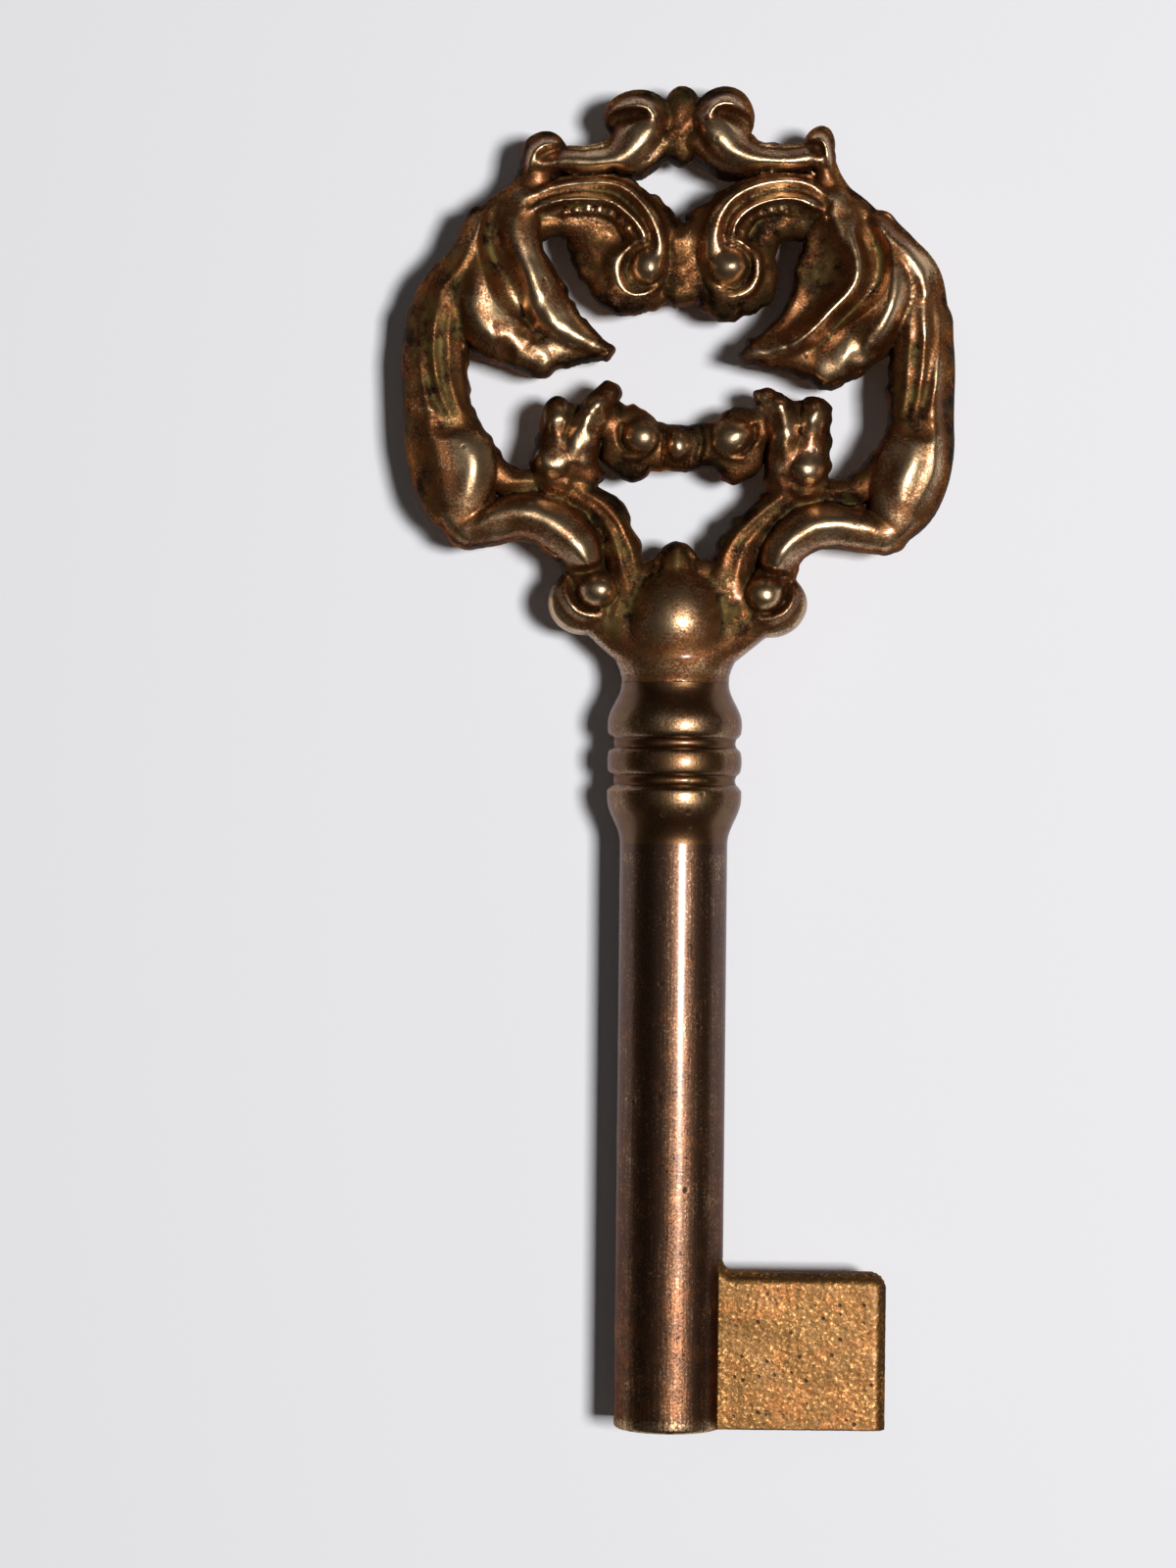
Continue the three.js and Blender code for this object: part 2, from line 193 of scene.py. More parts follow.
# %% Lay the paper under the key
FLOOR_SIDE_MM = 1600.0
PAPER_COLOUR = (0.92, 0.92, 0.95)
PAPER_ROUGHNESS = 0.85
TOOTH_PER_METRE = 900.0
TOOTH_DEPTH_MM = 0.1
TOOTH_STRENGTH = 0.05


def paper_material():
    material = bpy.data.materials.new("pale_paper")
    material.use_nodes = True
    tree = material.node_tree
    shader = tree.nodes["Principled BSDF"]
    place = add_node(tree, "ShaderNodeTexCoord").outputs["Object"]
    tooth = add_node(tree, "ShaderNodeTexNoise", inputs={
        "Vector": place, "Scale": TOOTH_PER_METRE, "Detail": 4.0,
    })
    bump = add_node(tree, "ShaderNodeBump", inputs={
        "Height": tooth.outputs[0], "Strength": TOOTH_STRENGTH, "Distance": TOOTH_DEPTH_MM * MM,
    })
    looks = {"Base Color": PAPER_COLOUR, "Roughness": PAPER_ROUGHNESS, "Normal": bump.outputs["Normal"]}
    for socket, value in looks.items():
        set_input(tree, shader.inputs[socket], value)
    return material


half_floor = FLOOR_SIDE_MM * MM / 2
floor_mesh = bpy.data.meshes.new("floor")
floor_corners = [
    (x * half_floor, y * half_floor, 0) for x, y in ((-1, -1), (1, -1), (1, 1), (-1, 1))
]
floor_mesh.from_pydata(floor_corners, [], [(0, 1, 2, 3)])
floor_mesh.materials.append(paper_material())
floor = bpy.data.objects.new("floor", floor_mesh)
bpy.context.scene.collection.objects.link(floor)
print("floor", FLOOR_SIDE_MM, "mm square")

# %% [markdown]
# ## Drawing the bow
# On the real key the bow is a sand casting. Its ornament is a play of rolls, flat leaves and sharp little
# ridges on both faces, alike on the left and the right but finished by hand. It could be sculpted, or swept
# as curves. Here it is drawn as strokes on a sheet and turned into a relief, because a relief joins crossing
# strokes softly, as molten metal does, and each stroke stays a few short rows of numbers.
#
# The sheet is as wide as the bow. Places on it are shares: hundredths of the bow's width across, and
# hundredths of its height up from a foot line just below its seat. A row is x, y, half width and height, and
# the height is in hundredths of half the bow's depth.

# %% The sheet and its scale
HALF_DEPTH_MM = 2.9
SEAT_SHARE = 2.4
CREST_SHARE = 100.2

across_mm = bow_width / 100
up_mm = bow_rise / (CREST_SHARE - SEAT_SHARE)
depth_mm = HALF_DEPTH_MM / 100


def sheet_to_mm(x, y):
    return np.array(x) * across_mm, bow_seat + (np.array(y) - SEAT_SHARE) * up_mm


print("one share is", round(across_mm, 3), "mm across and", round(up_mm, 3), "mm up")

# %% [markdown]
# The drawing has several kinds of marks. Bodies are the full masses: steep walls under a cushioned top.
# Grounds are lower and nearly level, and carry what stands on them. Slopes fall nearly all the way to their
# edge. Pads are round cushions, laid down first. Ridges and furrows are soft lines that are added to, or
# taken from, whatever lies there, so they never have to know how high it is. Balls are domes, set on last.
# The photograph shows a few lines on the right half that the left one doesn't have, and these come after.

# %% Bodies, drawn for one half of the bow
BODIES = {
    "crest_arm": [
        (26.0, 88.4, 2.2, 70), (22.0, 88.4, 2.7, 80), (17.5, 88.5, 2.6, 84), (13.0, 89.0, 2.9, 87),
        (9.5, 90.6, 3.8, 91), (7.4, 93.4, 4.8, 93), (7.4, 95.2, 4.4, 90),
    ],
    "crest_knee": [(12.0, 87.8, 2.4, 74), (8.8, 87.9, 2.7, 76), (5.6, 89.0, 2.4, 73), (2.8, 91.4, 2.3, 68)],
    "ear_foot": [(25.0, 87.6, 3.0, 72), (26.4, 84.8, 2.9, 66), (28.6, 82.6, 2.4, 66)],
    "scroll_band": [
        (27.0, 80.2, 3.0, 74), (22.4, 82.0, 3.9, 83), (17.0, 82.7, 4.2, 88), (12.0, 81.8, 4.3, 89),
        (8.6, 79.2, 4.4, 89), (7.0, 75.6, 4.6, 87), (7.4, 72.4, 5.2, 84), (8.2, 70.5, 5.5, 82),
    ],
    "upper_rim": [
        (28.6, 82.4, 2.4, 66), (31.6, 79.9, 2.9, 72), (36.0, 74.9, 3.7, 78), (38.6, 72.2, 3.9, 80),
        (42.0, 67.6, 4.4, 82), (43.5, 61.5, 5.1, 84),
    ],
    "leaf_main_lobe": [
        (27.6, 81.6, 3.4, 76), (28.0, 77.6, 4.7, 89), (27.5, 71.6, 5.2, 97), (25.2, 65.6, 5.3, 97),
        (21.2, 61.0, 4.2, 93), (16.6, 57.9, 2.5, 82), (14.4, 56.8, 1.6, 70),
    ],
    "leaf_sheet": [
        (35.4, 77.4, 3.4, 79), (36.4, 72.0, 5.6, 89), (35.6, 66.0, 6.4, 93), (33.4, 60.8, 5.7, 92),
        (29.0, 57.6, 4.6, 88), (25.7, 54.8, 3.1, 80),
    ],
    "leaf_underside": [(25.0, 57.0, 4.2, 79), (20.6, 57.4, 3.8, 76), (16.6, 57.0, 2.5, 70)],
    "arm": [(43.5, 61.5, 5.5, 84), (43.6, 55.0, 6.0, 89), (43.2, 49.0, 6.2, 89), (42.9, 45.4, 6.2, 86)],
    "bud": [
        (42.4, 44.0, 5.8, 84), (41.2, 40.0, 6.9, 95), (39.8, 36.0, 6.6, 97), (38.8, 32.0, 5.2, 91),
        (38.8, 28.8, 3.6, 80), (38.8, 26.4, 2.2, 66),
    ],
    "lower_rim": [
        (45.4, 46.4, 3.8, 84), (45.2, 43.0, 3.9, 84), (44.6, 39.0, 3.9, 84), (43.9, 35.8, 3.8, 82),
        (42.8, 32.2, 3.4, 78), (41.1, 29.5, 2.9, 74), (38.7, 27.4, 2.4, 68),
    ],
    "lower_roll": [
        (37.0, 26.8, 3.2, 80), (33.2, 28.1, 4.0, 90), (28.6, 29.2, 4.4, 95), (24.0, 28.7, 4.6, 97),
        (20.4, 26.8, 4.6, 97), (17.9, 24.4, 4.1, 95), (16.9, 22.7, 3.2, 89),
    ],
    "crown_outer": [
        (22.6, 46.6, 3.2, 84), (22.2, 43.0, 3.7, 86), (22.4, 39.6, 4.3, 88), (22.4, 36.4, 4.4, 76),
    ],
    "crown_inner": [
        (13.5, 49.3, 2.2, 70), (15.6, 47.2, 3.1, 84), (17.6, 43.4, 3.6, 89), (18.4, 39.6, 3.8, 83),
        (17.8, 36.6, 3.4, 68),
    ],
}
print(len(BODIES), "bodies, from the", next(iter(BODIES)), "to the", next(reversed(BODIES)))

# %% Grounds, a little lower
GROUNDS = {
    "crest_web": [(0.0, 91.0, 3.4, 58), (0.0, 94.6, 4.0, 62), (0.0, 97.6, 3.2, 56)],
    "scroll_web": [(0.0, 74.9, 4.2, 57), (0.0, 71.0, 5.2, 60), (0.0, 68.2, 4.2, 56)],
    "scroll_shoulder": [(8.2, 81.0, 3.2, 66), (4.4, 78.3, 3.2, 65), (1.8, 75.4, 2.8, 60)],
    "bud_wing": [(37.8, 40.6, 3.6, 74), (34.5, 37.2, 3.2, 68), (31.0, 34.8, 3.0, 62), (27.6, 34.2, 2.9, 60)],
    "rail": [
        (27.0, 34.0, 2.9, 54), (20.8, 33.2, 3.5, 58), (15.4, 30.2, 3.9, 59), (11.6, 26.0, 3.9, 59),
        (9.6, 21.6, 3.9, 58), (8.8, 17.4, 3.5, 56),
    ],
    "crown_foot": [(21.4, 34.6, 4.8, 54), (20.4, 39.0, 5.2, 58), (19.6, 44.6, 4.4, 58)],
    "crown_side": [(15.4, 45.4, 3.6, 68), (12.0, 44.4, 3.6, 62)],
    "bridge_bar": [(0.0, 41.0, 4.0, 60), (5.4, 41.4, 4.4, 60)],
    "neck_side": [(9.0, 9.0, 3.6, 56), (12.4, 12.6, 4.4, 58)],
    "cusp_leaf": [(0.0, 20.8, 5.2, 58), (0.0, 23.4, 2.9, 54)],
    "roll_foot": [(18.4, 21.4, 3.0, 64), (16.2, 20.2, 3.0, 64)],
}
print(len(GROUNDS), "grounds, the highest at", max(row[3] for rows in GROUNDS.values() for row in rows))

# %% Slopes, which fall nearly all the way to their edge
SLOPES = {
    "scroll_hollow": [
        (25.0, 77.6, 3.3, 60), (20.0, 78.4, 3.3, 58), (15.8, 77.8, 4.2, 58), (13.6, 75.0, 4.8, 56),
    ],
    "scroll_skirt": [
        (13.0, 72.0, 4.6, 60), (12.6, 69.4, 4.6, 58), (11.0, 67.4, 4.4, 56), (8.0, 67.0, 4.2, 56),
    ],
}
print(len(SLOPES), "slopes")

# %% Soft ridges, added to what lies under them
RIDGES = {
    "crest_ridge": [
        (24.6, 89.4, 2.1, 4), (21.0, 88.3, 2.7, 8), (17.4, 87.9, 2.7, 10), (13.2, 88.3, 2.8, 10),
        (10.0, 89.4, 3.4, 10), (7.4, 91.2, 3.5, 10), (5.2, 93.2, 3.1, 9), (4.0, 95.2, 2.5, 6),
    ],
    "crest_hook": [
        (12.3, 95.4, 1.1, 6), (10.9, 97.0, 1.3, 14), (8.6, 98.0, 1.6, 15), (6.2, 97.5, 1.3, 14),
        (5.0, 96.0, 1.1, 8),
    ],
    "ear_curl": [(26.6, 87.4, 1.2, 6), (26.2, 89.8, 1.3, 12), (24.7, 91.5, 1.3, 13), (22.6, 91.6, 1.1, 7)],
    "scroll_outer": [
        (27.0, 82.0, 2.0, 3), (24.0, 83.6, 2.6, 8), (20.0, 84.7, 2.8, 10), (16.2, 84.9, 2.8, 10),
        (12.0, 84.3, 2.8, 10), (8.8, 82.6, 2.8, 10), (6.2, 80.4, 2.8, 10), (4.8, 77.6, 2.8, 10),
        (4.4, 74.8, 2.6, 9), (4.8, 72.6, 2.2, 6),
    ],
    "scroll_inner": [
        (24.8, 80.6, 1.3, 6), (21.6, 81.8, 1.4, 11), (18.0, 82.2, 1.4, 12), (14.5, 81.7, 1.4, 12),
        (11.4, 80.2, 1.4, 12), (9.0, 78.2, 1.4, 11), (7.8, 76.2, 1.3, 8),
    ],
    "volute_crescent": [
        (10.2, 74.2, 1.6, 6), (12.0, 73.0, 1.7, 11), (12.9, 71.0, 1.7, 13), (12.6, 68.9, 1.7, 14),
        (11.2, 67.0, 1.7, 14), (9.0, 66.2, 1.7, 13), (6.8, 66.6, 1.6, 9), (5.4, 67.8, 1.3, 4),
    ],
    "leaf_main_ridge": [
        (29.4, 77.6, 2.8, 3), (29.7, 73.6, 3.2, 6), (29.2, 70.0, 3.4, 9), (27.9, 66.4, 3.4, 9),
        (25.6, 63.0, 3.4, 9), (22.6, 60.4, 3.2, 8), (19.0, 58.6, 2.5, 6),
    ],
    "leaf_outer_ridge": [
        (36.0, 77.4, 1.5, 4), (38.4, 74.8, 1.7, 7), (40.4, 72.0, 2.0, 8), (42.0, 69.2, 1.7, 8),
        (43.2, 66.6, 1.3, 5),
    ],
    "leaf_second_ridge": [
        (36.6, 71.4, 2.4, 4), (37.0, 67.6, 3.6, 10), (36.4, 64.0, 4.0, 12), (34.6, 60.6, 3.6, 11),
        (31.6, 58.4, 2.6, 5),
    ],
    "bud_ridge": [(40.6, 42.2, 2.4, 3), (39.4, 39.4, 3.1, 7), (38.6, 36.2, 2.8, 7), (38.6, 33.4, 2.0, 3)],
    "roll_ridge": [
        (37.0, 27.8, 1.8, 3), (33.0, 29.4, 2.4, 6), (28.5, 29.8, 2.7, 7), (24.6, 28.9, 2.7, 7),
        (20.6, 26.7, 2.7, 7), (18.2, 24.2, 2.2, 8), (17.3, 22.2, 1.7, 6),
    ],
    "rail_outer": [
        (20.0, 35.0, 1.2, 3), (17.2, 33.4, 1.3, 6), (14.2, 31.2, 1.3, 8), (11.6, 28.7, 1.3, 8),
        (9.4, 25.8, 1.3, 7), (8.0, 23.0, 1.3, 5), (7.4, 20.6, 1.2, 3),
    ],
    "rail_inner": [(14.4, 28.8, 0.8, 2), (12.2, 26.0, 1.0, 4), (11.0, 23.0, 1.0, 4), (10.4, 19.8, 1.1, 4)],
    "volute_ring": [
        (20.6, 19.4, 1.4, 4), (20.4, 17.0, 1.6, 10), (18.9, 14.6, 1.7, 13), (16.6, 13.3, 1.7, 11),
        (14.2, 13.2, 1.4, 5),
    ],
    "bridge_crescent": [
        (6.2, 44.2, 0.8, 4), (5.7, 42.4, 0.9, 10), (6.6, 40.6, 1.0, 11), (8.6, 39.5, 1.0, 9),
        (10.8, 39.6, 0.9, 5),
    ],
    "neck_fold": [(9.4, 20.2, 2.4, 2), (10.7, 16.6, 2.8, 4), (10.6, 12.8, 2.8, 4), (9.8, 9.2, 2.3, 2)],
    "cusp_vein": [(0.0, 20.4, 1.8, 4), (0.0, 23.2, 1.6, 7), (0.0, 25.0, 1.1, 4)],
    "crown_lump": [(15.2, 48.6, 1.5, 4), (17.0, 46.2, 1.9, 9), (18.6, 42.6, 1.9, 9), (19.2, 39.4, 1.6, 4)],
}
print(len(RIDGES), "ridges, the highest adding", max(row[3] for rows in RIDGES.values() for row in rows))

# %% Soft furrows, taken away from what lies under them
FURROWS = {
    "crest_head_hollow": [
        (13.2, 93.2, 2.0, 8), (11.4, 94.6, 2.4, 21), (9.0, 95.8, 1.9, 20), (6.9, 96.1, 1.2, 9),
    ],
    "ear_hollow": [(24.2, 89.6, 1.9, 10), (22.8, 90.0, 1.5, 7)],
    "scroll_groove": [
        (26.0, 81.2, 1.5, 6), (22.4, 82.9, 1.8, 14), (17.6, 83.5, 1.9, 19), (13.0, 82.8, 1.9, 19),
        (9.8, 81.2, 1.9, 18), (7.8, 78.8, 1.8, 14), (7.0, 76.0, 1.7, 10), (7.0, 74.4, 1.3, 6),
    ],
    "bead_channel": [
        (23.6, 79.4, 1.3, 7), (20.6, 80.5, 1.5, 11), (17.2, 80.9, 1.5, 12), (13.8, 80.3, 1.5, 12),
        (11.0, 78.8, 1.4, 10), (9.2, 76.4, 1.3, 7),
    ],
    "ball_ring": [
        (7.6, 74.6, 1.1, 7), (9.8, 73.6, 1.3, 14), (11.0, 71.2, 1.3, 21), (10.4, 69.0, 1.4, 23),
        (8.6, 67.8, 1.4, 21), (6.4, 67.8, 1.1, 12), (4.8, 68.8, 1.0, 6),
    ],
    "leaf_band": [
        (32.0, 80.6, 1.4, 7), (33.8, 77.6, 2.1, 15), (34.6, 74.4, 2.5, 21), (34.2, 70.8, 2.6, 23),
        (32.8, 67.4, 2.5, 22), (30.6, 64.6, 2.2, 17), (27.4, 62.2, 1.6, 9),
    ],
    "lobe_gap": [(32.4, 61.0, 1.8, 3), (31.8, 58.6, 2.0, 7), (31.2, 56.6, 1.8, 8), (30.8, 54.8, 1.4, 6)],
    "strand_outer": [
        (44.2, 66.6, 1.1, 2), (45.2, 61.0, 1.6, 9), (44.9, 55.0, 1.6, 10), (43.9, 50.0, 1.6, 10),
        (42.6, 47.0, 1.5, 7),
    ],
    "strand_middle": [
        (42.0, 64.0, 1.1, 3), (42.4, 58.6, 1.6, 7), (42.1, 53.0, 1.6, 8), (41.2, 48.8, 1.4, 7),
        (40.2, 46.8, 1.1, 3),
    ],
    "strand_inner": [(40.1, 61.0, 1.0, 3), (39.9, 55.6, 1.4, 4), (39.3, 50.8, 1.4, 4), (38.4, 47.4, 1.1, 3)],
    "arm_flank": [
        (46.8, 65.0, 2.6, 6), (48.4, 60.4, 3.6, 17), (49.2, 54.0, 3.9, 22), (48.8, 48.0, 3.9, 22),
        (47.8, 42.0, 3.7, 18), (46.4, 36.0, 3.2, 12), (43.6, 31.0, 2.6, 6),
    ],
    "cuff_shadow": [(47.6, 46.4, 1.6, 3), (44.6, 44.9, 2.6, 8), (41.2, 44.6, 3.0, 10), (38.0, 45.6, 2.2, 6)],
    "roll_seam": [
        (33.0, 32.6, 1.4, 5), (28.6, 33.6, 1.7, 8), (23.0, 33.0, 1.7, 8), (18.6, 30.6, 1.7, 8),
        (15.4, 27.2, 1.7, 8), (13.6, 23.6, 1.7, 8),
    ],
    "roll_mouth": [(19.2, 20.4, 1.2, 5), (17.4, 20.5, 1.4, 12), (15.2, 21.0, 1.4, 14), (13.2, 22.0, 1.1, 8)],
    "ring_hollow": [
        (19.4, 19.4, 1.2, 7), (19.0, 17.0, 1.4, 13), (17.6, 15.1, 1.4, 15), (15.2, 14.4, 1.2, 10),
    ],
    "bridge_hollow": [
        (11.6, 44.4, 1.0, 10), (11.6, 42.4, 1.1, 18), (10.4, 40.8, 0.9, 15), (8.4, 40.8, 0.7, 10),
    ],
    "bead_neck": [(3.2, 44.4, 0.8, 11), (3.5, 41.4, 0.8, 11), (3.2, 38.2, 0.8, 9)],
    "crown_fold": [(19.6, 49.0, 1.7, 9), (19.6, 46.0, 1.7, 8), (20.2, 42.4, 1.4, 3)],
    "neck_crease": [(12.6, 20.0, 1.8, 4), (12.6, 16.6, 1.8, 6), (12.8, 13.6, 1.5, 4)],
    "cusp_side": [(2.9, 20.6, 0.9, 6), (2.6, 23.0, 0.9, 9), (1.3, 24.9, 0.7, 5)],
}
print(len(FURROWS), "furrows, the deepest taking", max(row[3] for rows in FURROWS.values() for row in rows))

# %% Lines that only the right half has, ridges above nought and furrows below
RIGHT_ONLY = {
    "leaf_inner_flank": [
        (25.2, 79.2, 2.4, -8), (25.8, 75.2, 3.4, -24), (25.2, 70.4, 3.9, -34), (23.4, 65.6, 3.7, -32),
        (20.4, 61.8, 2.9, -20), (17.0, 59.0, 1.9, -8),
    ],
    "leaf_keel": [
        (30.4, 78.6, 1.2, 3), (30.0, 73.0, 1.5, 9), (28.6, 67.4, 1.5, 12), (25.6, 62.8, 1.5, 12),
        (20.8, 58.8, 1.2, 6),
    ],
    "worn_lobe": [(37.0, 70.2, 2.2, 4), (37.6, 66.0, 3.2, 12), (36.2, 61.2, 3.0, 11), (34.6, 58.4, 2.0, 4)],
}
print(len(RIGHT_ONLY), "lines on the right half alone")

# %% Pads and balls, as x, y, half width, half height and height
PADS = {
    "crest_head": (7.6, 95.2, 5.9, 5.0, 78),
    "crest_ear": (24.6, 90.2, 3.4, 3.3, 76),
    "scroll_disc": (9.0, 69.8, 8.4, 7.1, 50),
    "bridge_disc": (9.6, 41.6, 5.2, 6.3, 62),
    "lower_volute": (16.6, 15.6, 6.5, 5.5, 64),
    "boss_web": (0.0, 15.6, 13.6, 8.0, 62),
}
BALLS = {
    "volute_ball": (7.3, 71.2, 3.7, 3.4, 100),
    "bridge_ball": (8.3, 42.8, 3.9, 3.6, 91),
    "bridge_bead": (0.0, 41.6, 3.0, 3.2, 87),
    "lower_ball": (15.0, 17.3, 4.0, 3.5, 98),
    "crown_knob": (22.8, 38.6, 4.1, 3.7, 98),
    "crown_tip": (22.4, 45.4, 3.1, 3.6, 97),
    "crown_bump": (17.9, 43.0, 3.5, 4.2, 96),
    "crown_inner_tip": (15.6, 47.9, 2.8, 2.2, 94),
}
print(len(PADS), "pads and", len(BALLS), "balls on one half")

# %% [markdown]
# ## From strokes to a height
# A stroke's rows are only a few places, so a smooth line is run through them first. The spline is of the kind
# that never loops or swings out where the places are unevenly spaced.

# %% Smooth lines through a few rows
STROKE_STEP_MM = 0.3


def smooth_line(rows, spacing_mm=STROKE_STEP_MM):
    """Centripetal Catmull-Rom points through the rows, which are x mm, y mm, half width mm, height mm."""
    rows = np.array(rows, float)
    padded = np.vstack([2 * rows[0] - rows[1], rows, 2 * rows[-1] - rows[-2]])
    points = []
    for before, start, end, after in zip(padded, padded[1:], padded[2:], padded[3:]):
        length = np.linalg.norm((end - start)[:2])
        steps = max(2, int(length / spacing_mm))
        spans = ((before, start), (start, end), (end, after))
        knots = np.cumsum([0] + [np.linalg.norm((b - a)[:2]) ** 0.5 for a, b in spans])
        for t in np.linspace(knots[1], knots[2], steps, endpoint=False):
            points.append(spline_point(before, start, end, after, knots, t))
    return np.array(points + [rows[-1]])


def spline_point(p0, p1, p2, p3, knots, t):
    def between(a, b, from_knot, to_knot):
        return ((to_knot - t) * a + (t - from_knot) * b) / (to_knot - from_knot)

    k0, k1, k2, k3 = knots
    a1, a2, a3 = between(p0, p1, k0, k1), between(p1, p2, k1, k2), between(p2, p3, k2, k3)
    return between(between(a1, a2, k0, k2), between(a2, a3, k1, k3), k1, k2)


def stroke_line(rows):
    """A stroke's rows of shares as a smooth line in mm."""
    placed = []
    for x, y, half_width, crest in rows:
        place = sheet_to_mm(x, y)
        placed.append((*place, half_width * across_mm, crest * depth_mm))
    return smooth_line(placed)


print("the arm is", len(BODIES["arm"]), "rows and", len(stroke_line(BODIES["arm"])), "places on a line")

# %% [markdown]
# Every place on the sheet gets a signed height. Inside a mark it is the height of the section, and outside it
# falls steeply below zero, so that the outline can be found between grid points and comes out smooth. Two
# marks are joined by a soft maximum, which leaves a fillet in the corner between them.

# %% The sections across a mark
BODY_WALL_SHARE = 0.5
BALL_WALL_SHARE = 0.45
GROUND_WALL_SHARE = 0.55
SLOPE_WALL_SHARE = 0.2
WALL_STEEPNESS = 9.0
NARROWEST_TOP_SHARE = 0.3
FILLET_MM = 0.6
BALL_FILLET_MM = 0.45


def signed_root(values):
    return np.sign(values) * np.sqrt(np.abs(values))


def round_section(share):
    """A circle's height over its width, which turns negative outside it."""
    return signed_root(1 - share**2)


def cushion_section(away, crest, half_width, wall_share):
    """A domed top over a steep wall that meets the parting plane at the half width."""
    wall = crest * wall_share
    inner = np.maximum(half_width - wall / WALL_STEEPNESS, NARROWEST_TOP_SHARE * half_width)
    share = away / inner
    top = wall + (crest - wall) * np.sqrt(np.maximum(1 - share**2, 0))
    fall = wall * (away - inner) / (half_width - inner)
    return np.where(share < 1, top, wall - fall)


def line_section(away, crest, half_width):
    """A soft ridge that leaves the surface without an edge."""
    return crest * np.clip(1 - (away / half_width) ** 2, 0, 1) ** 2


def soft_max(a, b, fillet):
    """The larger height, with a fillet where the two are nearly equal."""
    blend = np.maximum(fillet - np.abs(a - b), 0)
    return np.maximum(a, b) + blend**2 / (4 * fillet)


half_profile = cushion_section(np.linspace(0, 1, 6), 1.0, 1.0, BODY_WALL_SHARE)
print("heights of a body from its middle to its edge:", np.round(half_profile, 2))

# %% [markdown]
# The half sheet is a fine grid of heights. Each stroke only touches the small window around it, one short
# segment at a time, which keeps the whole drawing down to a second or two.

# %% The grid of the half sheet
SHEET_CELL_MM = 0.05
SHEET_PAST_AXIS_MM = 3.0
SHEET_PAST_SEAT_MM = 0.5
SHEET_PAST_EDGE_MM = 1.6

sheet_x = np.arange(-SHEET_PAST_AXIS_MM, bow_width / 2 + SHEET_PAST_EDGE_MM, SHEET_CELL_MM)
sheet_y = np.arange(bow_seat - SHEET_PAST_SEAT_MM, bow_high[1] + SHEET_PAST_EDGE_MM, SHEET_CELL_MM)


def window(low, high, axis):
    """The part of a grid axis between two places."""
    return slice(max(0, np.searchsorted(axis, low)), np.searchsorted(axis, high))


print("sheet of", len(sheet_x), "by", len(sheet_y), "places")

# %% Heights of strokes and domes
BELOW_ALL = -4.0
STROKE_MARGIN_MM = 0.6
TINY = 1e-9


def stroke_heights(line, section, start_level, keep=np.maximum):
    """The highest section over every grid place near one line, or the lowest if keep is the minimum."""
    heights = np.full((len(sheet_x), len(sheet_y)), start_level)
    for start, end in zip(line, line[1:]):
        reach = STROKE_MARGIN_MM + max(start[2], end[2])
        xs = window(min(start[0], end[0]) - reach, max(start[0], end[0]) + reach, sheet_x)
        ys = window(min(start[1], end[1]) - reach, max(start[1], end[1]) + reach, sheet_y)
        px, py = np.meshgrid(sheet_x[xs], sheet_y[ys], indexing="ij")
        along = (end - start)[:2]
        t = ((px - start[0]) * along[0] + (py - start[1]) * along[1]) / max(along @ along, TINY)
        t = np.clip(t, 0, 1)
        away = np.hypot(px - start[0] - t * along[0], py - start[1] - t * along[1])
        half_width = start[2] + t * (end[2] - start[2])
        crest = start[3] + t * (end[3] - start[3])
        heights[xs, ys] = keep(heights[xs, ys], section(away, crest, half_width))
    return heights


def body_heights(rows, wall_share):
    def section(away, crest, half_width):
        return cushion_section(away, crest, half_width, wall_share)

    return stroke_heights(stroke_line(rows), section, BELOW_ALL)


def line_heights(rows):
    """A ridge, or a furrow where its heights are negative."""
    keep = np.minimum if rows[0][3] < 0 else np.maximum
    return stroke_heights(stroke_line(rows), line_section, 0.0, keep)


def pad_heights(row, wall_share):
    """A pad or a ball, as a cushion with an elliptical outline."""
    x, y = sheet_to_mm(row[0], row[1])
    half_width, half_height = row[2] * across_mm, row[3] * up_mm
    px, py = np.meshgrid(sheet_x, sheet_y, indexing="ij")
    share = np.hypot((px - x) / half_width, (py - y) / half_height)
    size = min(half_width, half_height)
    heights = cushion_section(share * size, row[4] * depth_mm, size, wall_share)
    return np.maximum(heights, BELOW_ALL)


arm_top = body_heights(BODIES["arm"], BODY_WALL_SHARE).max()
print("the arm alone is", round(float(arm_top), 2), "mm high")

# %% Draw the whole half sheet
def draw_half_sheet():
    half = np.full((len(sheet_x), len(sheet_y)), BELOW_ALL)
    for row in PADS.values():
        half = soft_max(half, pad_heights(row, GROUND_WALL_SHARE), FILLET_MM)
    for rows in GROUNDS.values():
        half = soft_max(half, body_heights(rows, GROUND_WALL_SHARE), FILLET_MM)
    for rows in SLOPES.values():
        half = soft_max(half, body_heights(rows, SLOPE_WALL_SHARE), FILLET_MM)
    for rows in BODIES.values():
        half = soft_max(half, body_heights(rows, BODY_WALL_SHARE), FILLET_MM)
    for rows in RIDGES.values():
        half = half + line_heights(rows)
    for rows in FURROWS.values():
        half = half - line_heights(rows)
    for row in BALLS.values():
        half = soft_max(half, pad_heights(row, BALL_WALL_SHARE), BALL_FILLET_MM)
    return half


left_sheet = draw_half_sheet()
right_sheet = left_sheet + sum(line_heights(rows) for rows in RIGHT_ONLY.values())
print("half sheet", left_sheet.shape, "highest", round(float(left_sheet.max()), 2), "mm")

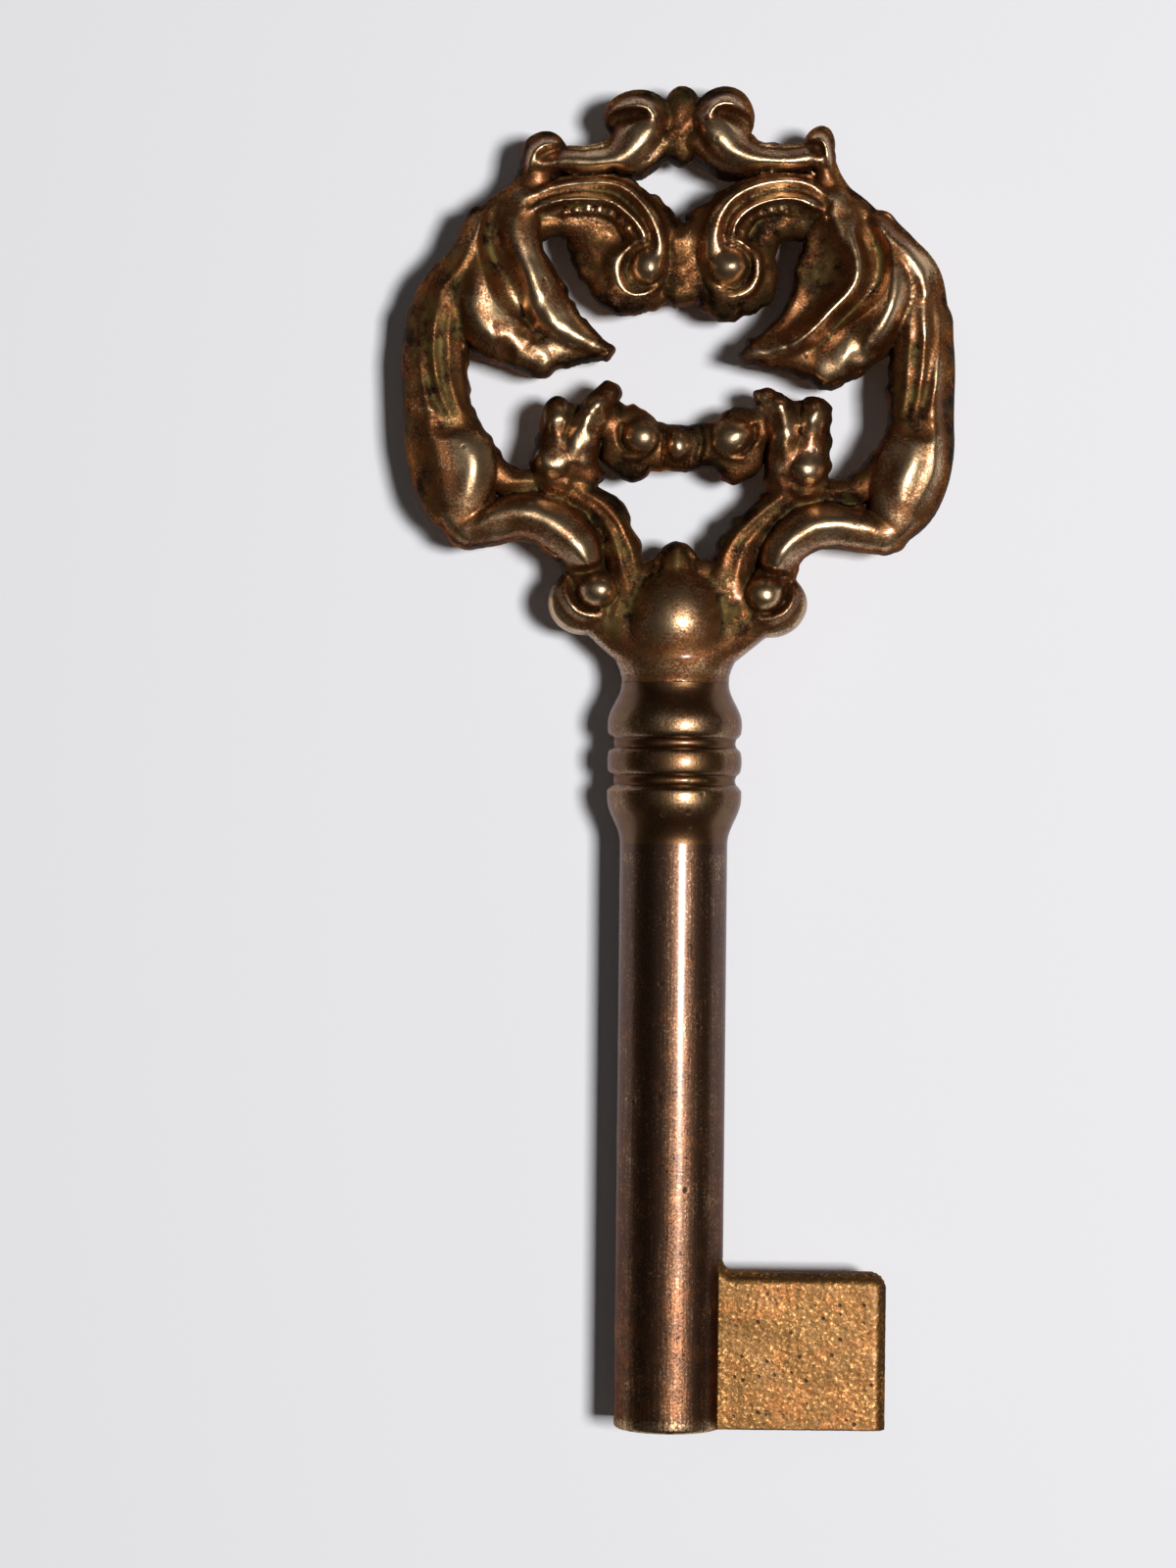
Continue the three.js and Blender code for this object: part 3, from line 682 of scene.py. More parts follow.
# %% [markdown]
# ## Two hands, two halves
# The drawing is the same on both sides, but the pattern for the mould was carved by hand, so on the key every
# landmark sits a little differently on the left and on the right. Each row below gives one landmark on the
# drawing, where it is on the left half and where it is on the right half, all in shares. What lies between
# the landmarks is pulled along with them, as on a rubber sheet.

# %% Landmarks on the drawing and on each half
LANDMARKS = [
    ((7.0, 100.0), (6.5, 99.6), (7.2, 100.4)),
    ((13.2, 95.0), (13.6, 95.0), (12.8, 95.2)),
    ((28.0, 89.5), (28.5, 88.9), (27.5, 90.4)),
    ((24.0, 93.3), (23.4, 92.8), (24.4, 94.0)),
    ((17.5, 85.2), (15.0, 85.0), (19.4, 85.6)),
    ((5.2, 78.5), (4.4, 78.5), (6.0, 78.4)),
    ((7.5, 71.0), (5.3, 70.9), (9.2, 71.1)),
    ((12.9, 70.0), (11.6, 70.0), (14.3, 70.3)),
    ((9.0, 66.2), (8.0, 66.0), (10.2, 65.9)),
    ((22.2, 72.0), (23.4, 72.0), (21.0, 72.4)),
    ((29.2, 70.0), (27.0, 69.6), (31.8, 70.0)),
    ((34.0, 72.6), (33.2, 72.6), (35.0, 72.6)),
    ((40.4, 72.0), (38.8, 71.6), (42.0, 72.4)),
    ((14.0, 56.8), (12.8, 57.2), (11.4, 56.2)),
    ((25.8, 52.2), (24.4, 52.6), (26.6, 51.2)),
    ((39.4, 39.4), (36.8, 39.4), (41.6, 39.4)),
    ((38.2, 33.4), (36.6, 33.8), (39.4, 33.2)),
    ((28.5, 29.8), (28.0, 30.6), (28.5, 29.2)),
    ((14.2, 31.2), (12.4, 31.4), (15.3, 31.0)),
    ((13.4, 50.6), (12.2, 51.2), (15.4, 50.6)),
    ((24.6, 47.8), (23.3, 47.6), (26.4, 48.6)),
    ((25.0, 42.2), (24.0, 42.2), (26.2, 41.8)),
    ((8.4, 43.0), (6.2, 43.2), (10.2, 43.2)),
    ((15.0, 17.4), (13.7, 17.8), (15.9, 17.2)),
]
PULL_SHARE = 5.0
PULL_SLACK = 0.05


def hand_shift(x, y, side):
    """How far, in mm, each place on one half has been moved from the drawing."""
    column = 1 if side < 0 else 2
    marks = np.array([landmark[column] for landmark in LANDMARKS])
    moves = marks - np.array([landmark[0] for landmark in LANDMARKS])
    mark_x, mark_y = sheet_to_mm(marks[:, 0], marks[:, 1])
    pull = PULL_SHARE * across_mm

    def weights(px, py):
        return np.exp(-((px[:, None] - mark_x) ** 2 + (py[:, None] - mark_y) ** 2) / (2 * pull**2))

    slack = PULL_SLACK * np.eye(len(marks))
    strengths = np.linalg.solve(weights(mark_x, mark_y) + slack, moves)
    shift = weights(x.ravel(), y.ravel()) @ strengths
    return (shift[:, 0] * across_mm).reshape(x.shape), (shift[:, 1] * up_mm).reshape(x.shape)


furthest = max(math.dist(mark[0], mark[2]) for mark in LANDMARKS) * across_mm
print(len(LANDMARKS), "landmarks, on the right half moved by up to about", round(furthest, 1), "mm")

# %% [markdown]
# No casting is as even as a drawing. Soft noise on seeded tables of random values gives it waves, lumps and a
# ragged edge, and comes out the same on every run.

# %% Read a grid between its places, and soft noise
SEED = 7
FINE_NOISE_SHARE = 0.5
INSIDE_LAST = 1.001


def sample(grid, xs, ys, x, y):
    """Heights read between the grid's places, with what lies past the grid read at its rim."""
    u = np.clip((x - xs[0]) / (xs[1] - xs[0]), 0, len(xs) - INSIDE_LAST)
    v = np.clip((y - ys[0]) / (ys[1] - ys[0]), 0, len(ys) - INSIDE_LAST)
    i, j = u.astype(int), v.astype(int)
    s, t = u - i, v - j
    low = grid[i, j] * (1 - s) + grid[i + 1, j] * s
    high = grid[i, j + 1] * (1 - s) + grid[i + 1, j + 1] * s
    return low * (1 - t) + high * t


def soft_noise(x, y, spacing_mm, seed):
    """Smooth random values from -1 to 1 over a plane."""
    rng = np.random.default_rng(seed)
    u, v = (x - x.min()) / spacing_mm, (y - y.min()) / spacing_mm
    table = rng.uniform(-1, 1, (int(u.max()) + 3, int(v.max()) + 3))
    i, j = u.astype(int), v.astype(int)
    s, t = u - i, v - j
    s, t = s * s * (3 - 2 * s), t * t * (3 - 2 * t)
    low = table[i, j] * (1 - s) + table[i + 1, j] * s
    high = table[i, j + 1] * (1 - s) + table[i + 1, j + 1] * s
    return low * (1 - t) + high * t


def rough_noise(x, y, coarse_mm, fine_mm, seed):
    coarse = soft_noise(x, y, coarse_mm, seed)
    return coarse + FINE_NOISE_SHARE * soft_noise(x, y, fine_mm, seed + 1)


few_x, few_y = np.meshgrid(np.arange(4.0), np.arange(4.0), indexing="ij")
print("four soft values:", np.round(soft_noise(few_x, few_y, 1.3, SEED)[0], 2))

# %% [markdown]
# The landmarks were read as the lens sees them. A high ridge away from the middle of the picture looks spread
# outwards, so each place is looked up on the drawing where its own height makes it appear. Where the inner
# edges are low, the mould left a thin ragged flash, and their outline is shaken by noise.

# %% One half of the ornament
LOOK_UPS = 2
AXIS_FADE_MM = 1.2
WAVER_MM = 0.03
WAVER_SPACING_MM = 1.3
FLASH_MM = 0.16
FLASH_SPACINGS_MM = (0.75, 0.4)
FLASH_TOP_MM = 1.9
FLASH_FADE_MM = 0.8
INNER_REACH = 0.86
INNER_FADE = 0.06
RING_MIDDLE_RISE_MM = 1.2


def seen_height(px, py, x, y, side):
    """The drawing's height at a place, looked up where that height makes it appear."""
    sheet = left_sheet if side < 0 else right_sheet
    height = sample(sheet, sheet_x, sheet_y, x, y)
    for _ in range(LOOK_UPS):
        spread = np.clip(height, 0, None) / LENS_DISTANCE_MM
        away_x = (px - PHOTO_CENTRE_MM[0]) * spread
        away_y = (py - PHOTO_CENTRE_MM[1]) * spread
        height = sample(sheet, sheet_x, sheet_y, x + side * away_x, y + away_y)
    return height


def flash_reach(px, py, height):
    """How far the ragged flash shakes each place, in mm."""
    low = np.clip((FLASH_TOP_MM - height) / FLASH_FADE_MM, 0, 1)
    middle_y = (bow_high[1] + bow_seat) / 2 + RING_MIDDLE_RISE_MM
    from_middle = np.hypot(px / (bow_width / 2), (py - middle_y) / (bow_rise / 2))
    return FLASH_MM * low * np.clip((INNER_REACH - from_middle) / INNER_FADE, 0, 1)


def half_relief(px, py, side):
    """One half of the ornament, at places given in the key's own frame."""
    shift_x, shift_y = hand_shift(np.abs(px), py, side)
    fade = np.clip(np.abs(px) / AXIS_FADE_MM, 0, 1)
    x = np.abs(px) - fade * shift_x + WAVER_MM * soft_noise(px, py, WAVER_SPACING_MM, SEED)
    y = py - fade * shift_y + WAVER_MM * soft_noise(px, py, WAVER_SPACING_MM, SEED + 1)
    ragged = flash_reach(px, py, seen_height(px, py, x, y, side))
    x = x + ragged * rough_noise(px, py, *FLASH_SPACINGS_MM, SEED + 8)
    y = y + ragged * rough_noise(px, py, *FLASH_SPACINGS_MM, SEED + 10)
    return seen_height(px, py, x, y, side)


print("edges lower than", FLASH_TOP_MM, "mm are ragged by up to", FLASH_MM, "mm")

# %% [markdown]
# Below the ornament come a ball-shaped boss, the round neck and the tenon that goes through the collar. Each
# is round in section. Outside a section its height turns negative, as for every other mark.

# %% The boss, the neck and the tenon
ROUND_REACH = 1.6
TENON_RADIUS_MM = 1.7
BOSS_SHARE = 12.3
BOSS_HALF_WIDTH_MM = 3.0
BOSS_UP_MM = 3.4
BOSS_DOWN_MM = 2.9
BOSS_CREST_MM = 3.35
NECK_ROWS_MM = [
    (0.0, 3.2, 3.2), (0.3, 3.21, 3.15), (0.6, 3.27, 3.06), (0.9, 3.37, 2.98), (1.3, 3.55, 2.9),
    (1.8, 3.85, 2.8), (2.4, 4.2, 2.62), (3.2, 4.5, 2.35), (4.4, 4.5, 2.05), (5.6, 4.0, 1.8),
]


def round_over(share):
    """A round section, followed only a little way past its edge."""
    return round_section(np.minimum(share, ROUND_REACH))


def boss_relief(px, py):
    """A ball with a longer slope on its upper side."""
    _, boss_y = sheet_to_mm(0, BOSS_SHARE)
    reach = np.where(py > boss_y, BOSS_UP_MM, BOSS_DOWN_MM)
    share = np.hypot(px / BOSS_HALF_WIDTH_MM, (py - boss_y) / reach)
    return BOSS_CREST_MM * round_over(share)


def neck_relief(px, py):
    """The neck, from rows of height above the seat, half width and half thickness."""
    rows = np.array(NECK_ROWS_MM)
    half_width = np.interp(py - bow_seat, rows[:, 0], rows[:, 1])
    crest = np.interp(py - bow_seat, rows[:, 0], rows[:, 2])
    height = crest * round_over(np.abs(px) / half_width)
    return np.where(py < bow_seat + rows[-1, 0], height, BELOW_ALL)


def tenon_relief(px):
    return TENON_RADIUS_MM * round_over(np.abs(px) / TENON_RADIUS_MM)


print("neck of", len(NECK_ROWS_MM), "rows, boss", 2 * BOSS_CREST_MM, "mm thick")

# %% Lumps that the mould left
LUMP_MM = 0.14
LUMP_SPACING_MM = 0.8
LUMPY_PLACES = [
    (-20.0, 44.0, 7.0), (20.6, 44.0, 7.0), (-18.0, 37.0, 4.0), (19.4, 37.0, 4.0), (-26.0, 60.0, 6.0),
    (33.0, 56.0, 4.0), (0.0, 72.0, 4.0), (-14.0, 70.0, 4.0), (14.0, 70.0, 4.0), (0.0, 93.0, 4.0),
]


def near_places(places, x, y):
    """From 0 to 1, how close each point lies to a list of places with a reach, all in shares."""
    near = np.zeros(x.shape)
    for place_x, place_y, reach in places:
        middle_x, middle_y = sheet_to_mm(place_x, place_y)
        away = np.hypot(x - middle_x, y - middle_y) / (reach * across_mm)
        near = np.maximum(near, np.exp(-(away**2)))
    return near


def mould_lumps(px, py):
    noise = rough_noise(px, py, LUMP_SPACING_MM, LUMP_SPACING_MM / 2, SEED + 12)
    return LUMP_MM * near_places(LUMPY_PLACES, px, py) * noise


print(len(LUMPY_PLACES), "lumpy places, with lumps of", LUMP_MM, "mm")

# %% Assemble the whole relief of the bow
BOW_CELL_MM = 0.1
BOW_MARGIN_MM = 0.4
CREST_MARGIN_MM = 0.5
TENON_MARGIN_MM = 0.25
SKIN_WAVE_MM = 0.035
SKIN_WAVE_SPACING_MM = 1.1
SKIN_GRAIN_MM = 0.014
SKIN_GRAIN_SPACING_MM = 0.35
NECK_FILLET_MM = 0.7
BOSS_FILLET_MM = 0.8

tenon_foot = bow_low[1]
bow_x = np.arange(bow_low[0] - BOW_MARGIN_MM, bow_high[0] + BOW_MARGIN_MM, BOW_CELL_MM)
bow_y = np.arange(tenon_foot - TENON_MARGIN_MM, bow_high[1] + CREST_MARGIN_MM, BOW_CELL_MM)


def bow_relief():
    px, py = np.meshgrid(bow_x, bow_y, indexing="ij")
    ornament = np.where(px < 0, half_relief(px, py, -1), half_relief(px, py, 1))
    ornament = ornament + mould_lumps(px, py)
    ornament = ornament + SKIN_WAVE_MM * soft_noise(px, py, SKIN_WAVE_SPACING_MM, SEED + 2)
    ornament = ornament + SKIN_GRAIN_MM * soft_noise(px, py, SKIN_GRAIN_SPACING_MM, SEED + 3)
    whole = soft_max(ornament, neck_relief(px, py), NECK_FILLET_MM)
    whole = soft_max(whole, boss_relief(px, py), BOSS_FILLET_MM)
    whole = np.where(py < bow_seat, tenon_relief(px), whole)
    return np.where(py < tenon_foot, BELOW_ALL, whole)


bow_heights = bow_relief()
print("bow relief", bow_heights.shape, "highest", round(float(bow_heights.max()), 2), "mm")

# %% [markdown]
# ## From a height to a closed skin
# A relief on its own has no sides and no back. The casting is the space where the distance from the parting
# plane is less than the height, so a surface net is laid over that space: one point in every cell that the
# skin passes through, and one face for every grid edge that it crosses. Marching cubes or a voxel remesh
# would do this too, but a surface net is short to write and gives even four-sided faces.

# %% A surface net over a field that is positive inside
def surface_net(field, origin, cell):
    """Points and four-sided faces round the part of a field that is above nought."""
    inside = field > 0
    shape = np.array(field.shape) - 1
    corner_views = [
        inside[i : i + shape[0], j : j + shape[1], k : k + shape[2]]
        for i, j, k in itertools.product((0, 1), repeat=3)
    ]
    mixed = np.logical_or.reduce(corner_views) & ~np.logical_and.reduce(corner_views)
    cells = np.argwhere(mixed)
    number = np.full(mixed.shape, -1, np.int32)
    number[tuple(cells.T)] = np.arange(len(cells))
    points = crossing_means(field, cells) * cell + origin
    return points, net_faces(inside, number)


def crossing_means(field, cells):
    """The mean place, in every cell, of where its twelve edges cross the skin."""
    total = np.zeros((len(cells), 3))
    count = np.zeros(len(cells))
    for axis in range(3):
        step = np.eye(3, dtype=int)[axis]
        others = [a for a in range(3) if a != axis]
        for i, j in itertools.product((0, 1), repeat=2):
            start = np.zeros(3, int)
            start[others] = (i, j)
            low = field[tuple((cells + start).T)]
            high = field[tuple((cells + start + step).T)]
            crossed = (low > 0) != (high > 0)
            t = low[crossed] / (low[crossed] - high[crossed])
            total[crossed] += cells[crossed] + start + t[:, None] * step
            count[crossed] += 1
    return total / count[:, None]


def net_faces(inside, number):
    faces = []
    for axis in range(3):
        u, v = [(1, 2), (2, 0), (0, 1)][axis]
        low = np.take(inside, range(inside.shape[axis] - 1), axis)
        high = np.take(inside, range(1, inside.shape[axis]), axis)
        for leaving in (True, False):
            edges = np.argwhere((low & ~high) if leaving else (~low & high))
            ring = []
            for du, dv in ((-1, -1), (0, -1), (0, 0), (-1, 0)):
                place = edges.copy()
                place[:, u] += du
                place[:, v] += dv
                ring.append(number[tuple(place.T)])
            quads = np.stack(ring, axis=1)
            faces.append(quads if leaving else quads[:, ::-1])
    return np.vstack(faces)


test_axis = np.linspace(-1.5, 1.5, 13)
test_ball = 1 - np.linalg.norm(np.meshgrid(test_axis, test_axis, test_axis, indexing="ij"), axis=0)
print("a coarse test ball becomes", len(surface_net(test_ball, np.zeros(3), 0.25)[1]), "faces")

# %% [markdown]
# The net's points sit on straight lines between grid places, which leaves faint terraces on gentle slopes.
# Each point is therefore pushed onto the true height, along the steepest way, and the ends that are cut
# square are kept level.

# %% Turn a relief into a smooth closed skin
SETTLE_PASSES = 2
SETTLE_LIMIT_MM = 0.05
HEADROOM_CELLS = 3
SQUARE_REACH_CELLS = 0.75


def settle_points(points, heights, xs, ys):
    """Pushes each point onto the true height, a little at a time."""
    slope_x, slope_y = np.gradient(heights, xs[1] - xs[0])
    for _ in range(SETTLE_PASSES):
        x, y, z = points.T
        face = np.where(z < 0, -1.0, 1.0)
        gap = sample(heights, xs, ys, x, y) - np.abs(z)
        gx = sample(slope_x, xs, ys, x, y)
        gy = sample(slope_y, xs, ys, x, y)
        reach = np.clip(gap / (gx**2 + gy**2 + 1), -SETTLE_LIMIT_MM, SETTLE_LIMIT_MM)
        points = points - reach[:, None] * np.stack([gx, gy, -face], axis=1)
    return points


def relief_skin(heights, xs, ys, cell, square_ends):
    """Both faces of a relief as one closed skin. square_ends are pairs of an axis and a level."""
    top = float(heights.max()) + HEADROOM_CELLS * cell
    zs = np.arange(-top, top, cell) + cell / 2
    field = (heights[:, :, None] - np.abs(zs)[None, None, :]).astype(np.float32)
    origin = np.array([xs[0], ys[0], zs[0]])
    points, faces = surface_net(field, origin, cell)
    loose = np.ones(len(points), bool)
    for axis, level in square_ends:
        near = np.abs(points[:, axis] - level) < SQUARE_REACH_CELLS * cell
        points[near, axis] = level
        loose &= ~near
    points[loose] = settle_points(points[loose], heights, xs, ys)
    return points, faces


bow_points, bow_faces = relief_skin(
    bow_heights, bow_x, bow_y, BOW_CELL_MM, square_ends=[(1, bow_seat), (1, tenon_foot)]
)
print("bow skin:", len(bow_points), "points,", len(bow_faces), "faces")

# %% [markdown]
# ## Meshes
# Every piece is a mesh with its place in its points, and its object stays at the origin. Large meshes are
# filled in whole arrays at a time, because a loop over points in Python would take minutes.

# %% Make a piece and read its points
def new_piece(name, points_mm, faces):
    """A piece from points about the key's axis, in mm, and faces that all have the same number of corners."""
    mesh = bpy.data.meshes.new(name)
    mesh.vertices.add(len(points_mm))
    metres = (np.asarray(points_mm) + (0, 0, axis_height)) * MM
    mesh.vertices.foreach_set("co", metres.astype(np.float32).ravel())
    mesh.loops.add(faces.size)
    mesh.loops.foreach_set("vertex_index", faces.astype(np.int32).ravel())
    mesh.polygons.add(len(faces))
    mesh.polygons.foreach_set("loop_start", np.arange(0, faces.size, faces.shape[1], dtype=np.int32))
    mesh.update(calc_edges=True)
    mesh.validate()
    piece = bpy.data.objects.new(name, mesh)
    bpy.context.scene.collection.objects.link(piece)
    return piece


def mesh_points(mesh):
    """A mesh's points in mm, counted from the floor."""
    points = np.zeros(len(mesh.vertices) * 3, np.float32)
    mesh.vertices.foreach_get("co", points)
    return points.reshape(-1, 3) / MM


print("helpers: new_piece and mesh_points")

# %% [markdown]
# Old brass is bright where hands rub it and dark where they can't reach. Both are read off the shape: each
# point is compared with the average of a small and of a large neighbourhood, and what stands proud is worn
# while what lies deep is hollow. Wear fades near a joint, where fingers don't reach. Low ground, such as the
# floor of the ornament, is marked too, by its height alone. The three values are stored for the materials.

# %% How far each point stands proud
def neighbour_mean(values, edges, count):
    """For each point, the mean value of the points that an edge joins to it."""
    total = np.stack([
        np.bincount(edges[:, 0], values[edges[:, 1], axis], len(values))
        + np.bincount(edges[:, 1], values[edges[:, 0], axis], len(values))
        for axis in range(values.shape[1])
    ], axis=1)
    return total / count[:, None]


def read_edges(mesh):
    edges = np.zeros(len(mesh.edges) * 2, np.int32)
    mesh.edges.foreach_get("vertices", edges)
    return edges.reshape(-1, 2)


def how_proud(mesh, points, passes, proud_mm):
    """How far each point stands out from two sizes of neighbourhood, in shares of proud_mm."""
    normals = np.zeros(len(mesh.vertices) * 3, np.float32)
    mesh.vertex_normals.foreach_get("vector", normals)
    normals = normals.reshape(-1, 3)
    edges = read_edges(mesh)
    count = np.maximum(np.bincount(edges.ravel(), minlength=len(points)), 1)
    smooth = points
    proud = np.zeros(len(points))
    for step in range(1, passes[1] + 1):
        smooth = (smooth + neighbour_mean(smooth, edges, count)) / 2
        if step in passes:
            size = proud_mm[passes.index(step)]
            proud += 0.5 * ((points - smooth) * normals).sum(axis=1) / size
    return proud


print("helpers: neighbour_mean, read_edges and how_proud")

# %% Mark wear, hollows and low ground
NO_LOW_GROUND_MM = -9.0
ALL_ALONG_MM = -99.0
LOW_FADE_MM = 0.7
LOW_START_MM = 4.0
JOINT_DULL_MM = 0.3
JOINT_FADE_MM = 0.9


def mark_wear(
    mesh, passes, proud_mm, joints_mm=(),
    low_mm=NO_LOW_GROUND_MM, fade_mm=LOW_FADE_MM, low_from_mm=ALL_ALONG_MM,
):
    """Stores wear, hollow and low ground, each from 0 to 1, for the materials."""
    points = mesh_points(mesh).astype(float)
    proud = how_proud(mesh, points, passes, proud_mm)
    hollow = -proud
    for joint in joints_mm:
        clear = np.clip((np.abs(points[:, 1] - joint) - JOINT_DULL_MM) / JOINT_FADE_MM, 0, 1)
        proud = np.minimum(proud, clear)
    depth = np.abs(points[:, 2] - axis_height)
    started = np.clip((points[:, 1] - low_from_mm) / LOW_START_MM, 0, 1)
    low = np.clip((low_mm - depth) / fade_mm, 0, 1) * started
    for name, value in (("wear", proud - low), ("hollow", hollow), ("low", low)):
        stored = mesh.attributes.new(name, "FLOAT", "POINT")
        stored.data.foreach_set("value", np.clip(value, 0, 1).astype(np.float32))
    print(mesh.name, "wear", round(float(np.clip(proud, 0, 1).mean()), 3))


print("low ground fades over", LOW_FADE_MM, "mm")

# %% Shade a piece, thin it and finish its mesh
MERGE_MM = 0.001


def shade(mesh, sharp_angle_deg):
    """Smooth shading, with edges past the angle kept sharp."""
    work = bmesh.new()
    work.from_mesh(mesh)
    bmesh.ops.remove_doubles(work, verts=work.verts, dist=MERGE_MM * MM)
    bmesh.ops.recalc_face_normals(work, faces=work.faces)
    limit = math.radians(sharp_angle_deg)
    for face in work.faces:
        face.smooth = True
    for edge in work.edges:
        edge.smooth = len(edge.link_faces) == 2 and edge.calc_face_angle(0) < limit
    work.to_mesh(mesh)
    work.free()
    mesh.update()


def thin_out(piece, most_triangles):
    """Brings a dense skin under a number of triangles, and keeps its shape."""
    triangles = sum(len(face.vertices) - 2 for face in piece.data.polygons)
    if triangles <= most_triangles:
        return piece
    modifier = piece.modifiers.new("thin", "DECIMATE")
    modifier.ratio = most_triangles / triangles
    return plain_mesh(piece)


def plain_mesh(piece):
    """Replaces a piece's mesh by its evaluated one, and drops the modifiers."""
    graph = bpy.context.evaluated_depsgraph_get()
    mesh = bpy.data.meshes.new_from_object(piece.evaluated_get(graph))
    piece.modifiers.clear()
    piece.data = mesh
    mesh.name = piece.name
    return piece


print("points closer than", MERGE_MM, "mm are merged")

# %% [markdown]
# ## A band of beads, by Geometry Nodes
# A row of small beads follows the inside of each scroll. They repeat along a path, so a Geometry Nodes tree
# makes them: the path is cut into points at the bead spacing, and every point of the casting that lies within
# one bead's radius of a path point, seen from above, is lifted into a dome. Instanced spheres would also do,
# but they would be loose pieces inside the casting, and cast beads grow out of it.

# %% Trees with a geometry going in and out
def new_geometry_tree(name, ins):
    """An empty tree with named inputs, and its input and output sockets."""
    tree = bpy.data.node_groups.new(name, "GeometryNodeTree")
    tree.interface.new_socket("Geometry", in_out="INPUT", socket_type="NodeSocketGeometry")
    for socket, kind in ins.items():
        tree.interface.new_socket(socket, in_out="INPUT", socket_type=kind)
    tree.interface.new_socket("Geometry", in_out="OUTPUT", socket_type="NodeSocketGeometry")
    return tree, tree.nodes.new("NodeGroupInput").outputs, tree.nodes.new("NodeGroupOutput").inputs


def finish_tree(tree, geometry, material, end):
    """Ends a tree with real geometry that carries a material."""
    real = add_node(tree, "GeometryNodeRealizeInstances", inputs={"Geometry": geometry})
    painted = add_node(tree, "GeometryNodeSetMaterial", inputs={
        "Geometry": real.outputs[0], "Material": material,
    })
    tree.links.new(painted.outputs[0], end["Geometry"])


def socket_id(tree, name):
    """The identifier of a named input, which is what a modifier knows it by."""
    inputs = [item for item in tree.interface.items_tree if item.in_out == "INPUT"]
    return next(item.identifier for item in inputs if item.name == name)


def apply_tree(piece, tree, values):
    modifier = piece.modifiers.new(tree.name, "NODES")
    modifier.node_group = tree
    for name, value in values.items():
        modifier[socket_id(tree, name)] = value
    return plain_mesh(piece)


print("helpers: new_geometry_tree, finish_tree, socket_id and apply_tree")

# %% The bead tree
def level_place(tree, place, level):
    """The same place, moved up or down to one level."""
    parts = add_node(tree, "ShaderNodeSeparateXYZ", inputs={0: place}).outputs
    inputs = {"X": parts["X"], "Y": parts["Y"], "Z": level}
    return add_node(tree, "ShaderNodeCombineXYZ", inputs=inputs).outputs[0]


def build_bead_tree():
    tree, start, end = new_geometry_tree("bead_band", {
        "Path": "NodeSocketObject", "Bead Spacing": "NodeSocketFloat", "Bead Radius": "NodeSocketFloat",
        "Bead Height": "NodeSocketFloat", "Middle Level": "NodeSocketFloat", "Material": "NodeSocketMaterial",
    })
    path = add_node(tree, "GeometryNodeObjectInfo", inputs={"Object": start["Path"]}).outputs["Geometry"]
    middles = add_node(tree, "GeometryNodeCurveToPoints", {"mode": "LENGTH"}, {
        "Curve": path, "Length": start["Bead Spacing"],
    })
    place = add_node(tree, "GeometryNodeInputPosition").outputs[0]
    level = level_place(tree, place, start["Middle Level"])
    nearest = add_node(tree, "GeometryNodeProximity", {"target_element": "POINTS"}, {
        "Geometry": middles.outputs["Points"], "Sample Position": level,
    })
    share = math_node(tree, "DIVIDE", nearest.outputs["Distance"], start["Bead Radius"])
    inside = math_node(tree, "SUBTRACT", 1.0, math_node(tree, "MULTIPLY", share, share))
    dome = math_node(tree, "SQRT", math_node(tree, "MAXIMUM", inside, 0.0))
    height = add_node(tree, "ShaderNodeSeparateXYZ", inputs={0: place}).outputs["Z"]
    face = math_node(tree, "SIGN", math_node(tree, "SUBTRACT", height, start["Middle Level"]))
    lift = math_node(tree, "MULTIPLY", math_node(tree, "MULTIPLY", dome, start["Bead Height"]), face)
    offset = add_node(tree, "ShaderNodeCombineXYZ", inputs={"Z": lift}).outputs[0]
    beaded = add_node(tree, "GeometryNodeSetPosition", inputs={
        "Geometry": start["Geometry"], "Offset": offset,
    })
    finish_tree(tree, beaded.outputs[0], start["Material"], end)
    return tree


bead_tree = build_bead_tree()
print("tree", bead_tree.name)

# %% [markdown]
# Hands don't rub every high place alike. Two lists of places add to what is read off the shape. A row is x, y
# and a reach in shares, and x is negative on the left half. A rubbed place gets more wear, and on the balls
# and lobes this is painted highlight as well. A place of painted shade gets less wear and counts as a hollow,
# so it goes dark.

# %% The rubbed places and the places of painted shade
# Rubbed places add wear. Those on the balls, the bud, the crown knob and the leaf lobes are also painted
# highlight: worn gold laid where the light glints.
RUBBED_AND_GLINT_PLACES = [
    (-21.0, 59.3, 5.0), (-27.0, 64.4, 3.6), (-31.4, 63.0, 2.8), (-26.6, 69.5, 2.6), (-5.0, 70.6, 2.6),
    (-9.5, 67.0, 3.0), (-36.6, 38.4, 3.4), (-17.0, 46.0, 3.0), (-18.6, 42.4, 2.4), (-6.0, 90.4, 3.0),
    (-15.0, 87.6, 3.2), (-12.4, 17.2, 2.4), (-23.0, 30.0, 3.4), (-16.4, 23.6, 2.2), (-5.4, 43.2, 2.2),
    (38.0, 66.0, 4.2), (28.6, 58.4, 3.8), (41.4, 37.4, 3.2), (21.6, 45.0, 2.4), (23.4, 38.6, 2.6),
    (15.6, 47.6, 2.4), (9.0, 70.6, 2.8), (9.6, 66.6, 2.8), (9.8, 43.0, 2.6), (28.0, 29.4, 3.8),
    (19.0, 24.4, 2.6), (15.8, 17.2, 2.0), (42.8, 71.0, 2.6), (1.6, 41.4, 1.8), (8.0, 91.6, 2.8),
    (16.0, 88.0, 3.2), (16.5, 82.6, 3.6), (-16.0, 81.8, 3.6),
]
RUB_AND_GLINT_STRENGTH = 0.85
